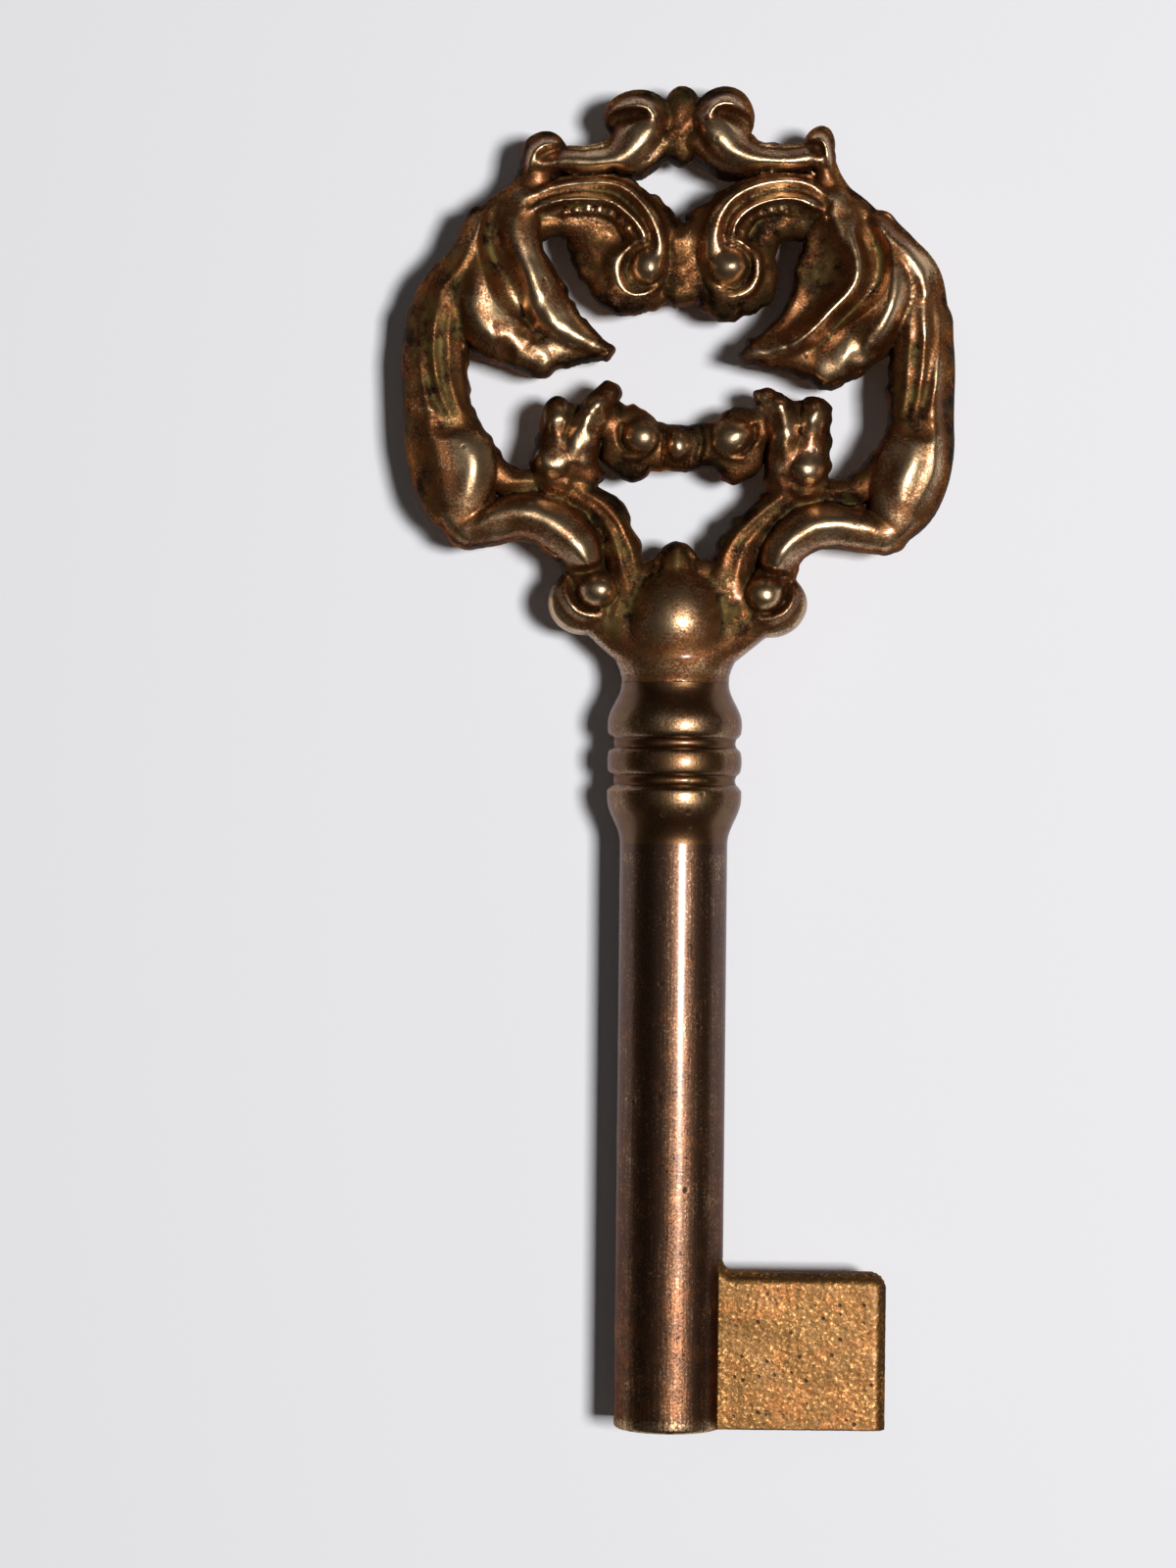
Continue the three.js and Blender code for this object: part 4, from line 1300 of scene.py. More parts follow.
# Places of painted shade: the arms, the leaf bands, the rails and the ground round the boss are darkened
# here.
PAINTED_SHADE_PLACES = [
    (-45.0, 62.0, 5.0), (-45.6, 56.0, 5.0), (-45.0, 50.0, 5.0), (-46.4, 43.0, 4.4), (-45.0, 36.0, 4.0),
    (-41.6, 68.0, 4.4), (-38.4, 73.6, 4.0), (-40.6, 60.0, 3.6), (-40.4, 53.0, 3.6), (-40.8, 46.6, 4.0),
    (-34.6, 69.6, 2.4), (-33.6, 76.0, 2.4), (40.6, 56.0, 3.8), (40.4, 50.0, 3.8), (41.0, 46.0, 3.6),
    (31.0, 60.0, 2.6), (-43.0, 57.0, 4.6), (-42.6, 50.0, 4.6), (-10.6, 25.0, 3.0), (11.6, 24.0, 3.0),
    (-26.0, 35.0, 3.0), (27.0, 34.4, 3.0), (-8.6, 14.0, 2.6), (9.4, 13.6, 2.6), (-7.6, 16.4, 2.6),
    (8.0, 16.2, 2.4), (-3.0, 19.0, 2.4), (-47.0, 56.0, 4.0), (11.4, 11.6, 2.4), (-11.4, 11.8, 2.4),
    (-7.6, 19.8, 2.2), (8.6, 20.0, 2.2), (0.0, 22.4, 2.8),
]
PAINTED_SHADE_STRENGTH = 0.55


def add_to_mark(mesh, name, extra):
    """Adds to one of the stored values, and keeps it from 0 to 1."""
    marks = np.zeros(len(mesh.vertices), np.float32)
    mesh.attributes[name].data.foreach_get("value", marks)
    mesh.attributes[name].data.foreach_set("value", np.clip(marks + extra, 0, 1).astype(np.float32))


def add_wear_and_painted_light(mesh):
    x, y, _ = mesh_points(mesh).astype(float).T
    # Worn gold goes on at the rubbed places, partly as painted highlight. Painted shade takes away wear and
    # is added to the hollows, which turns it dark.
    rub_and_glint = RUB_AND_GLINT_STRENGTH * near_places(RUBBED_AND_GLINT_PLACES, x, y)
    darkening = PAINTED_SHADE_STRENGTH * near_places(PAINTED_SHADE_PLACES, x, y)
    add_to_mark(mesh, "wear", rub_and_glint - darkening)
    add_to_mark(mesh, "hollow", darkening)


print(len(RUBBED_AND_GLINT_PLACES), "rubbed and", len(PAINTED_SHADE_PLACES), "grimy places")

# %% Lay the bead paths
BEAD_PATHS = [
    [(-20.5, 79.6), (-17.5, 80.3), (-14.0, 80.1), (-11.2, 79.0), (-9.4, 77.2)],
    [(25.5, 79.2), (22.0, 80.6), (18.5, 80.9), (15.0, 80.2), (12.0, 78.6), (10.0, 76.6)],
]
BEAD_LEVEL_MM = 2.4
BEAD_PATH_STEP_MM = 0.1


def bead_path():
    """Both paths as one curve object, read as the lens sees them and put where they really lie."""
    curve = bpy.data.curves.new("bead_path", "CURVE")
    curve.dimensions = "3D"
    for rows in BEAD_PATHS:
        x, y = sheet_to_mm([row[0] for row in rows], [row[1] for row in rows])
        shrink = 1 / (1 + BEAD_LEVEL_MM / LENS_DISTANCE_MM)
        x = PHOTO_CENTRE_MM[0] + (x - PHOTO_CENTRE_MM[0]) * shrink
        y = PHOTO_CENTRE_MM[1] + (y - PHOTO_CENTRE_MM[1]) * shrink
        line = smooth_line(np.stack([x, y, 0 * x, 0 * x], axis=1), BEAD_PATH_STEP_MM)
        spline = curve.splines.new("POLY")
        spline.points.add(len(line) - 1)
        for point, place in zip(spline.points, line):
            point.co = (place[0] * MM, place[1] * MM, axis_height * MM, 1)
    path = bpy.data.objects.new("bead_path", curve)
    bpy.context.scene.collection.objects.link(path)
    return path


path = bead_path()
print("bead paths of", [len(spline.points) for spline in path.data.splines], "points")

# %% [markdown]
# The bow is now made: the skin becomes a mesh, the tree raises its beads, and the mesh is thinned before its
# wear is marked.

# %% Make the bow's mesh
BEAD_SPACING_MM = 0.62
BEAD_RADIUS_MM = 0.26
BEAD_HEIGHT_MM = 0.16
BOW_TRIANGLES = 190000
BOW_SHARP_DEG = 60
BOW_WEAR_PASSES = (6, 60)
BOW_PROUD_MM = (0.05, 0.4)
BOW_LOW_MM = 2.25
CLEAN_NECK_MM = 4.0

bow = new_piece("bow_casting", bow_points, bow_faces)
apply_tree(bow, bead_tree, {
    "Path": path, "Bead Spacing": BEAD_SPACING_MM * MM, "Bead Radius": BEAD_RADIUS_MM * MM,
    "Bead Height": BEAD_HEIGHT_MM * MM, "Middle Level": axis_height * MM,
})
bpy.data.objects.remove(path)
thin_out(bow, BOW_TRIANGLES)
shade(bow.data, BOW_SHARP_DEG)
# Low ground here takes in the lower part of every wall, so the tarnish darkens the ground as patina and the
# walls as painted shade.
mark_wear(
    bow.data, BOW_WEAR_PASSES, BOW_PROUD_MM,
    joints_mm=[bow_seat], low_mm=BOW_LOW_MM, low_from_mm=bow_seat + CLEAN_NECK_MM,
)
add_wear_and_painted_light(bow.data)
print("bow mesh:", len(bow.data.polygons), "faces")

# %% [markdown]
# ## Aged brass, as shader groups
# The same two effects run through every finish of this key, so each is built once as a node group. The first
# is the grain of the metal: fine grit, streaks along the key and small round pits. The second is tarnish,
# which decides from wear, hollows, low ground, painted highlight, painted shade and a cloudy noise how dark
# or bright each place is. They put out only masks, colours and heights, and each material feeds them to its
# own shader.

# %% Helpers for shader groups
def new_group(name, ins, outs):
    """An empty group. A number or a colour for each input is its default."""
    tree = bpy.data.node_groups.new(name, "ShaderNodeTree")
    for socket, value in ins.items():
        kind = "NodeSocketColor" if isinstance(value, tuple) else "NodeSocketFloat"
        made = tree.interface.new_socket(socket, in_out="INPUT", socket_type=kind)
        made.default_value = (*value, 1) if isinstance(value, tuple) else value
    for socket, kind in outs.items():
        tree.interface.new_socket(socket, in_out="OUTPUT", socket_type=kind)
    start = tree.nodes.new("NodeGroupInput").outputs
    end = tree.nodes.new("NodeGroupOutput").inputs
    return tree, start, end


def ramp_mask(tree, value, low, high):
    """A mask that rises softly from 0 at low to 1 at high."""
    made = add_node(tree, "ShaderNodeMapRange", {"interpolation_type": "SMOOTHSTEP"}, {
        "Value": value, "From Min": low, "From Max": high,
    })
    return made.outputs[0]


def noise_value(tree, place, scale, detail, roughness):
    return add_node(tree, "ShaderNodeTexNoise", inputs={
        "Vector": place, "Scale": scale, "Detail": detail, "Roughness": roughness,
    }).outputs[0]


print("helpers: new_group, ramp_mask and noise_value")

# %% A group for the grain and the pits
GRIT_NOISE = (4.0, 0.65)
STREAK_NOISE = (2.0, 0.6)
STREAK_STRETCH = (1.0, 0.05, 1.0)
PIT_EDGE = (0.08, 0.3)
GRIT_HEIGHT_SHARE = 0.6


def build_grain_group():
    tree, start, end = new_group(
        "metal_grain", {"Grit per Metre": 9000.0, "Pits per Metre": 1400.0, "Pit Share": 0.3, "Streaks": 0.0},
        {"Height": "NodeSocketFloat", "Grit": "NodeSocketFloat", "Pits": "NodeSocketFloat"},
    )
    place = add_node(tree, "ShaderNodeTexCoord").outputs["Object"]
    grit = noise_value(tree, place, start["Grit per Metre"], *GRIT_NOISE)
    drawn = add_node(tree, "ShaderNodeVectorMath", {"operation": "MULTIPLY"}, {0: place, 1: STREAK_STRETCH})
    streak = noise_value(tree, drawn.outputs[0], start["Grit per Metre"], *STREAK_NOISE)
    streak = math_node(tree, "MULTIPLY", math_node(tree, "SUBTRACT", streak, 0.5), start["Streaks"])
    grit = math_node(tree, "ADD", grit, streak)
    cells = add_node(tree, "ShaderNodeTexVoronoi", inputs={"Vector": place, "Scale": start["Pits per Metre"]})
    chance = add_node(tree, "ShaderNodeSeparateColor", inputs={0: cells.outputs["Color"]}).outputs[0]
    chosen = math_node(tree, "LESS_THAN", chance, start["Pit Share"])
    round_pit = math_node(tree, "SUBTRACT", 1.0, ramp_mask(tree, cells.outputs["Distance"], *PIT_EDGE))
    pits = math_node(tree, "MULTIPLY", chosen, round_pit)
    height = math_node(tree, "SUBTRACT", math_node(tree, "MULTIPLY", grit, GRIT_HEIGHT_SHARE), pits)
    for name, value in (("Height", height), ("Grit", grit), ("Pits", pits)):
        tree.links.new(value, end[name])
    return tree


grain_group = build_grain_group()
print("group", grain_group.name)

# %% [markdown]
# The colours are laid over one another. Brown bronze and patches of copper lie at the bottom, worn gold shows
# where they were rubbed off and also as painted highlight, dark tarnish fills the hollows and is also painted
# shade, and a thin olive film lies over it all.

# %% The clouds and ramps of the tarnish
CLOUD_NOISE = (6.0, 0.62)
PATCH_NOISE = (4.0, 0.6)
FILM_NOISE = (5.0, 0.65)
WORN_RAMP = (0.1, 0.95)
BLOOM_RAMP = (0.38, 0.66)
CLEAN_CLOUD_RAMP = (0.85, 0.2)
DIRT_AND_SHADE_RAMP = (0.12, 0.75)
FILM_RAMP = (0.42, 0.62)
PATCH_CLOUD_TIMES = 2.6
FILM_CLOUD_TIMES = 1.7
BLOOM_SPECKLE_SHARE = 0.4
LOW_BLOOM_SHARE = 0.5
LOW_FILM_SHARE = 0.2
PIT_DIRT_SHARE = 0.8
FILM_STRENGTH = 0.8


def mix_colour(tree, factor, a, b):
    made = add_node(tree, "ShaderNodeMix", {"data_type": "RGBA", "clamp_factor": True})
    for index, value in ((0, factor), (6, a), (7, b)):
        set_input(tree, made.inputs[index], value)
    return made.outputs[2]


print("patches are", PATCH_CLOUD_TIMES, "times as fine as the clouds, the film", FILM_CLOUD_TIMES, "times")

# %% A group for tarnish and wear
def build_tarnish_group():
    tree, start, end = new_group("brass_tarnish", {
        "Dark Tarnish": (0.014, 0.006, 0.003), "Brown Bronze": (0.2, 0.074, 0.026),
        "Copper Bloom": (0.3, 0.098, 0.03), "Worn Gold": (0.78, 0.53, 0.3), "Olive Film": (0.21, 0.14, 0.042),
        "Wear": 0.0, "Hollow": 0.0, "Low": 0.0, "Bloom": 0.5, "Film": 0.0, "Grit": 0.5, "Pits": 0.0,
        "Wear Reach": 1.0, "Speckle": 0.8, "Mottle": 0.9, "Dark Patches": 0.6, "Grime": 0.0,
        "Cloud per Metre": 260.0,
    }, {
        "Color": "NodeSocketColor", "Worn": "NodeSocketFloat", "Dirt": "NodeSocketFloat",
    })

    def join(operation, a, b):
        return math_node(tree, operation, a, b)

    def finer_cloud(times, noise):
        return noise_value(tree, place, join("MULTIPLY", start["Cloud per Metre"], times), *noise)

    place = add_node(tree, "ShaderNodeTexCoord").outputs["Object"]
    cloud = noise_value(tree, place, start["Cloud per Metre"], *CLOUD_NOISE)
    patch = finer_cloud(PATCH_CLOUD_TIMES, PATCH_NOISE)
    speck = join("MULTIPLY", join("SUBTRACT", start["Grit"], 0.5), start["Speckle"])
    uneven = join("ADD", join("SUBTRACT", cloud, 0.5), speck)

    worn_and_glint = join("MULTIPLY", start["Wear"], start["Wear Reach"])
    worn_and_glint = join("ADD", worn_and_glint, join("MULTIPLY", uneven, start["Mottle"]))
    worn_and_glint = ramp_mask(tree, worn_and_glint, *WORN_RAMP)

    bloom = join("MAXIMUM", start["Bloom"], join("MULTIPLY", start["Low"], LOW_BLOOM_SHARE))
    bloom = join("ADD", join("SUBTRACT", bloom, 0.5), patch)
    bloom = join("ADD", bloom, join("MULTIPLY", speck, BLOOM_SPECKLE_SHARE))
    bloom = ramp_mask(tree, bloom, *BLOOM_RAMP)

    low_dirt_and_shade = join("MULTIPLY", start["Low"], ramp_mask(tree, cloud, *CLEAN_CLOUD_RAMP))
    dirt_and_shade = join("MAXIMUM", start["Hollow"], low_dirt_and_shade)
    dirt_and_shade = join("SUBTRACT", dirt_and_shade, join("MULTIPLY", uneven, start["Dark Patches"]))
    dirt_and_shade = join("ADD", dirt_and_shade, start["Grime"])
    dirt_and_shade = ramp_mask(tree, dirt_and_shade, *DIRT_AND_SHADE_RAMP)
    dirt_and_shade = join("MAXIMUM", dirt_and_shade, join("MULTIPLY", start["Pits"], PIT_DIRT_SHARE))

    film = ramp_mask(tree, finer_cloud(FILM_CLOUD_TIMES, FILM_NOISE), *FILM_RAMP)
    green = join("MAXIMUM", start["Hollow"], join("MULTIPLY", start["Low"], LOW_FILM_SHARE))
    green = join("MULTIPLY", join("MAXIMUM", green, start["Film"]), film)

    # Dark tarnish here is patina in the hollows and also painted shade, and worn gold is wear and also
    # painted highlight.
    base = mix_colour(tree, bloom, start["Brown Bronze"], start["Copper Bloom"])
    base = mix_colour(tree, worn_and_glint, base, start["Worn Gold"])
    base = mix_colour(tree, dirt_and_shade, base, start["Dark Tarnish"])
    base = mix_colour(tree, join("MULTIPLY", green, FILM_STRENGTH), base, start["Olive Film"])
    for name, value in (("Color", base), ("Worn", worn_and_glint), ("Dirt", dirt_and_shade)):
        tree.links.new(value, end[name])
    return tree


tarnish_group = build_tarnish_group()
print("group", tarnish_group.name)

# %% [markdown]
# ## The brass finishes
# A finish is the shader with the two groups in front of it. Worn metal is smoother than tarnished metal, and
# what fills the hollows is an oxide and not quite a metal, so roughness and metallic follow the masks, which
# also carry painted highlight and painted shade. A thin clear coat stands for the polish of many hands. It is
# left out of low ground, hollows and painted shade. Copper bloom and polish may also change along the key,
# because one end is handled more than the other, and the colour may darken along it too.

# %% Values along the key, and the coat
LOW_COAT_LOSS = 1.6
HOLLOW_COAT_LOSS = 3.2


def value_along(tree, start_mm, end_mm, low, high):
    """A value that changes evenly along the key, from low at one place to high at another."""
    along = add_node(tree, "ShaderNodeTexCoord").outputs["Object"]
    along = add_node(tree, "ShaderNodeSeparateXYZ", inputs={0: along}).outputs["Y"]
    return add_node(tree, "ShaderNodeMapRange", inputs={
        "Value": along, "From Min": start_mm * MM, "From Max": end_mm * MM, "To Min": low, "To Max": high,
    }).outputs[0]


def coat_weight(tree, low, hollow, polish, weight):
    low_loss = math_node(tree, "MULTIPLY", low, LOW_COAT_LOSS)
    hollow_loss = math_node(tree, "MULTIPLY", hollow, HOLLOW_COAT_LOSS)
    covered = math_node(tree, "MAXIMUM", low_loss, hollow_loss)
    bare = math_node(tree, "SUBTRACT", 1.0, covered, clamp=True)
    return math_node(tree, "MULTIPLY", bare, math_node(tree, "MULTIPLY", polish, weight))


print("helpers: value_along and coat_weight")

# %% One function for every brass finish
EDGE_TINT = (0.36, 0.28, 0.22)
DIRT_AND_SHADE_METAL_LOSS = 0.35


def brass_finish(
    name, grain, tarnish, roughness, bump_mm, bloom, coat, darkening=(0, 1, 0, 0), polish=(0, 1, 1, 1)
):
    """roughness is for tarnished metal, worn metal with painted highlight, and dirty metal with painted
    shade, and coat is the coat's weight and roughness.
    """
    material = bpy.data.materials.new(name)
    material.use_nodes = True
    tree = material.node_tree
    shader = tree.nodes["Principled BSDF"]
    wear, hollow, low = [
        add_node(tree, "ShaderNodeAttribute", {"attribute_name": mark}).outputs["Fac"]
        for mark in ("wear", "hollow", "low")
    ]
    grains = add_node(tree, "ShaderNodeGroup", {"node_tree": grain_group}, grain).outputs
    looks = add_node(tree, "ShaderNodeGroup", {"node_tree": tarnish_group}, {
        **tarnish, "Wear": wear, "Hollow": hollow, "Low": low, "Grit": grains["Grit"], "Pits": grains["Pits"],
        "Bloom": value_along(tree, *bloom), "Grime": value_along(tree, *darkening),
    }).outputs
    tarnished, worn_and_glint, dirty = roughness
    rough = math_node(tree, "MULTIPLY", looks["Worn"], worn_and_glint - tarnished)
    rough = math_node(tree, "ADD", rough, tarnished)
    dirt_and_shade_rough = math_node(tree, "MULTIPLY", looks["Dirt"], dirty - tarnished)
    metal_loss = math_node(tree, "MULTIPLY", looks["Dirt"], DIRT_AND_SHADE_METAL_LOSS)
    bump = add_node(tree, "ShaderNodeBump", inputs={
        "Height": grains["Height"], "Strength": 1.0, "Distance": bump_mm * MM,
    })
    links = {
        "Base Color": looks["Color"],
        "Roughness": math_node(tree, "ADD", rough, dirt_and_shade_rough, clamp=True),
        "Metallic": math_node(tree, "SUBTRACT", 1.0, metal_loss),
        "Normal": bump.outputs["Normal"],
        "Coat Weight": coat_weight(tree, low, hollow, value_along(tree, *polish), coat[0]),
        "Coat Roughness": coat[1],
        "Specular Tint": EDGE_TINT,
    }
    for socket, value in links.items():
        set_input(tree, shader.inputs[socket], value)
    print("finish", name)
    return material


print("dirt takes away", DIRT_AND_SHADE_METAL_LOSS, "of the metal")

# %% [markdown]
# The cast bow is a warm brown that goes to gold on every crest and carries a little olive film. It darkens
# towards its neck.

# %% The bow's cast brass
# The bow's colour darkens towards its seat over this length.
NECK_DARKENING_MM = 7.0

cast_brass = brass_finish(
    "cast_brass_bow",
    {"Grit per Metre": 7000.0, "Pits per Metre": 1500.0, "Pit Share": 0.12},
    {"Wear Reach": 0.85, "Speckle": 1.5, "Mottle": 1.3, "Film": 0.27, "Cloud per Metre": 420.0},
    roughness=(0.46, 0.33, 0.62), bump_mm=0.026, bloom=(bow_seat, bow_high[1], 0.46, 0.38), coat=(0.7, 0.2),
    darkening=(bow_seat, bow_seat + NECK_DARKENING_MM, 0.36, 0.0),
)

# %% [markdown]
# The turned pieces are darker and smoother than the casting, with faint streaks along them. The barrel is
# more polished near the collar than at the bit, and the collar has some of the bow's olive film.

# %% The barrel's and the collar's turned brass
turned_brass = brass_finish(
    "turned_brass_barrel",
    {"Grit per Metre": 6500.0, "Pits per Metre": 1300.0, "Pit Share": 0.16, "Streaks": 0.45},
    {
        "Brown Bronze": (0.1, 0.049, 0.028), "Copper Bloom": (0.18, 0.074, 0.034), "Cloud per Metre": 360.0,
        "Wear Reach": 0.5, "Speckle": 1.9, "Mottle": 0.8, "Dark Patches": 1.3,
    },
    roughness=(0.37, 0.29, 0.55), bump_mm=0.022, coat=(0.68, 0.17),
    bloom=(barrel_low[1], barrel_high[1], 0.5, 0.3), polish=(barrel_low[1], barrel_high[1], 0.15, 1.0),
)
collar_brass = brass_finish(
    "turned_brass_collar",
    {"Grit per Metre": 6500.0, "Pits per Metre": 1300.0, "Pit Share": 0.16, "Streaks": 0.2},
    {
        "Brown Bronze": (0.135, 0.058, 0.025), "Copper Bloom": (0.21, 0.08, 0.03), "Cloud per Metre": 420.0,
        "Wear Reach": 0.28, "Speckle": 1.2, "Mottle": 0.7, "Film": 0.35, "Dark Patches": 1.0,
    },
    roughness=(0.37, 0.3, 0.55), bump_mm=0.02, coat=(0.65, 0.2),
    bloom=(collar_low[1], collar_high[1], 0.3, 0.4),
)

# %% [markdown]
# The bit has lost most of its tarnish in the lock. It is a yellow brass, rough and speckled, with dark pits.

# %% The bit's bare brass
# The bit's dark tarnish colour also darkens its rounded edges, as painted shade.
bare_brass = brass_finish(
    "worn_brass_bit",
    {"Grit per Metre": 5600.0, "Pits per Metre": 2100.0, "Pit Share": 0.24},
    {
        "Brown Bronze": (0.175, 0.084, 0.025), "Copper Bloom": (0.26, 0.095, 0.026),
        "Worn Gold": (0.78, 0.44, 0.155), "Dark Tarnish": (0.045, 0.025, 0.014),
        "Wear Reach": 0.2, "Speckle": 3.6,
    },
    roughness=(0.46, 0.36, 0.6), bump_mm=0.038, bloom=(bit_low[1], bit_high[1], 0.42, 0.42), coat=(0.2, 0.3),
)

# %% [markdown]
# ## The turned pieces
# The collar and the barrel come off a lathe, so each is one profile carried round an axis. Spin or a Screw
# modifier could do it. A Geometry Nodes tree is used here because one tree then serves both, with the number
# of sides as a named input: it lays a grid, gives every row of it one point of the profile and every column
# one angle, and merges the seam.

# %% A Geometry Nodes tree that turns a profile
def build_turning_tree():
    tree, start, end = new_geometry_tree("turned_piece", {
        "Sides": "NodeSocketInt", "Material": "NodeSocketMaterial",
    })

    def join(operation, *values):
        return math_node(tree, operation, *values)

    profile = {"Geometry": start["Geometry"]}
    rows = add_node(tree, "GeometryNodeAttributeDomainSize", inputs=profile).outputs["Point Count"]
    columns = join("ADD", start["Sides"], 1.0)
    grid = add_node(tree, "GeometryNodeMeshGrid", inputs={
        "Size X": 1.0, "Size Y": 1.0, "Vertices X": columns, "Vertices Y": rows,
    })
    place = add_node(tree, "GeometryNodeInputPosition").outputs[0]
    corner = add_node(tree, "ShaderNodeSeparateXYZ", inputs={0: place}).outputs
    last_row = join("SUBTRACT", rows, 1.0)
    row = join("ROUND", join("MULTIPLY", join("ADD", corner["Y"], 0.5), last_row))
    turn = join("MULTIPLY", join("ADD", corner["X"], 0.5), math.tau)
    sampled = add_node(tree, "GeometryNodeSampleIndex", {"data_type": "FLOAT_VECTOR"}, {
        **profile, "Value": place, "Index": row,
    })
    point = add_node(tree, "ShaderNodeSeparateXYZ", inputs={0: sampled.outputs[0]}).outputs
    side = join("MULTIPLY", point["X"], join("COSINE", turn))
    rise = join("MULTIPLY", point["X"], join("SINE", turn))
    level = join("ADD", rise, axis_height * MM)
    turned_to = add_node(tree, "ShaderNodeCombineXYZ", inputs={"X": side, "Y": point["Y"], "Z": level})
    turned = add_node(tree, "GeometryNodeSetPosition", inputs={
        "Geometry": grid.outputs["Mesh"], "Position": turned_to.outputs[0],
    })
    closed = add_node(tree, "GeometryNodeMergeByDistance", inputs={
        "Geometry": turned.outputs[0], "Distance": MERGE_MM * MM,
    })
    finish_tree(tree, closed.outputs[0], start["Material"], end)
    return tree


turning_tree = build_turning_tree()
print("tree", turning_tree.name)

# %% [markdown]
# A profile needs only its corners. The straight stretches between them are divided evenly, so that the wear
# marks have points to sit on, and the loop closes on its first point.

# %% Turn one profile into a piece
SIDES = 160
PROFILE_STEP_MM = 0.3
TURNED_SHARP_DEG = 40
TURNED_WEAR_PASSES = (4, 30)


def divided(profile):
    """The corners of a closed profile, with points between them at an even step."""
    points = []
    for start, end in zip(profile, profile[1:] + profile[:1]):
        start, end = np.array(start), np.array(end)
        steps = max(1, math.ceil(np.linalg.norm(end - start) / PROFILE_STEP_MM))
        points.extend(start + (end - start) * i / steps for i in range(steps))
    return [*points, np.array(profile[0])]


def turned_piece(name, profile, material):
    points = [(radius * MM, along * MM, 0) for radius, along in divided(profile)]
    mesh = bpy.data.meshes.new(name)
    mesh.from_pydata(points, [(i, i + 1) for i in range(len(points) - 1)], [])
    piece = bpy.data.objects.new(name, mesh)
    bpy.context.scene.collection.objects.link(piece)
    return apply_tree(piece, turning_tree, {"Sides": SIDES, "Material": material})


print("turned pieces get", SIDES, "sides and a point every", PROFILE_STEP_MM, "mm")

# %% [markdown]
# ## The collar
# The collar is a sleeve on the bow's tenon. It flares from the barrel into a full round band, then come a
# groove, a short domed band, a second groove and an upper band that falls away to the waist of the neck. The
# bands are arcs and easings between a few named sizes, as a turner's template would be.

# %% Easings, domed bands and grooves
EASE_STEPS = 12
GROOVE_ROUNDNESS = 0.6


def ease(start, end):
    """A smooth step from one radius to another."""
    (r0, y0), (r1, y1) = start, end
    shares = np.linspace(0, 1, EASE_STEPS + 1)
    return [(r0 + (r1 - r0) * (1 - math.cos(math.pi * t)) / 2, y0 + (y1 - y0) * t) for t in shares]


def domed_band(foot, top, edge_radius, crown):
    """A band that bulges past its edges."""
    shares = np.linspace(0, 1, EASE_STEPS + 1)
    domes = [math.sqrt(max(0, 1 - (2 * t - 1) ** 2)) for t in shares]
    return [(edge_radius + crown * dome, foot + (top - foot) * t) for dome, t in zip(domes, shares)]


def groove(foot, top, edge_radius, floor_radius):
    """A round-bottomed groove between two edges, without the edges themselves."""
    shares = np.linspace(0, 1, EASE_STEPS + 1)[1:-1]
    fall = edge_radius - floor_radius
    falls = [fall * math.sin(math.pi * t) ** GROOVE_ROUNDNESS for t in shares]
    return [(edge_radius - down, foot + (top - foot) * t) for down, t in zip(falls, shares)]


print("an easing has", len(ease((1, 0), (2, 1))), "points")

# %% Draw the collar's profile and turn it
TENON_CLEARANCE_MM = 0.05
LOWER_BAND_MM = 3.4
MIDDLE_BAND_MM = 1.5
GROOVE_WIDTH_MM = 0.7
GROOVE_DEPTH_MM = 0.38
BAND_CROWN_MM = 0.2
BAND_EDGE_MM = 0.2
BAND_EDGE_FALL_MM = 0.05
FLARE_SHARE = 0.8
LOWER_FLAT_MM = 0.4
UPPER_FLAT_START_MM = 0.55
UPPER_FLAT_END_MM = 0.8
WAIST_RADIUS_MM = 3.2
COLLAR_PROUD_MM = (0.02, 0.09)


def collar_profile():
    foot, seat = collar_low[1], collar_high[1]
    bore = TENON_RADIUS_MM + TENON_CLEARANCE_MM
    edge, near_edge = collar_radius - BAND_CROWN_MM, collar_radius - BAND_EDGE_FALL_MM
    floor_radius = collar_radius - GROOVE_DEPTH_MM
    lower_top = foot + LOWER_BAND_MM
    middle_foot = lower_top + GROOVE_WIDTH_MM
    middle_top = middle_foot + MIDDLE_BAND_MM
    upper_foot = middle_top + GROOVE_WIDTH_MM
    shoulder = foot + FLARE_SHARE * LOWER_BAND_MM
    profile = [(bore, foot)]
    profile += ease((barrel_radius, foot), (collar_radius, shoulder))
    profile += [
        (collar_radius, shoulder + LOWER_FLAT_MM), (near_edge, lower_top - BAND_EDGE_MM), (edge, lower_top),
    ]
    profile += groove(lower_top, middle_foot, edge, floor_radius)
    profile += domed_band(middle_foot, middle_top, edge, BAND_CROWN_MM)
    profile += groove(middle_top, upper_foot, edge, floor_radius)
    profile += [
        (edge, upper_foot), (near_edge, upper_foot + BAND_EDGE_MM),
        (collar_radius, upper_foot + UPPER_FLAT_START_MM),
    ]
    profile += ease((collar_radius, upper_foot + UPPER_FLAT_END_MM), (WAIST_RADIUS_MM, seat))
    profile += [(bore, seat)]
    return profile


collar = turned_piece("collar_sleeve", collar_profile(), collar_brass)
shade(collar.data, TURNED_SHARP_DEG)
mark_wear(collar.data, TURNED_WEAR_PASSES, COLLAR_PROUD_MM, joints_mm=[collar_low[1], collar_high[1]])
print("collar mesh:", len(collar.data.polygons), "faces")

# %% [markdown]
# ## The barrel
# The barrel is a drilled round bar. The bore that goes over the lock's pin is open at the free end, where it
# shows, and a socket at the other end takes the tenon. Both are round, so they are part of the profile. The
# slot for the bit's root isn't, so a boolean cuts it afterwards. The rim of the free end is worn bright.

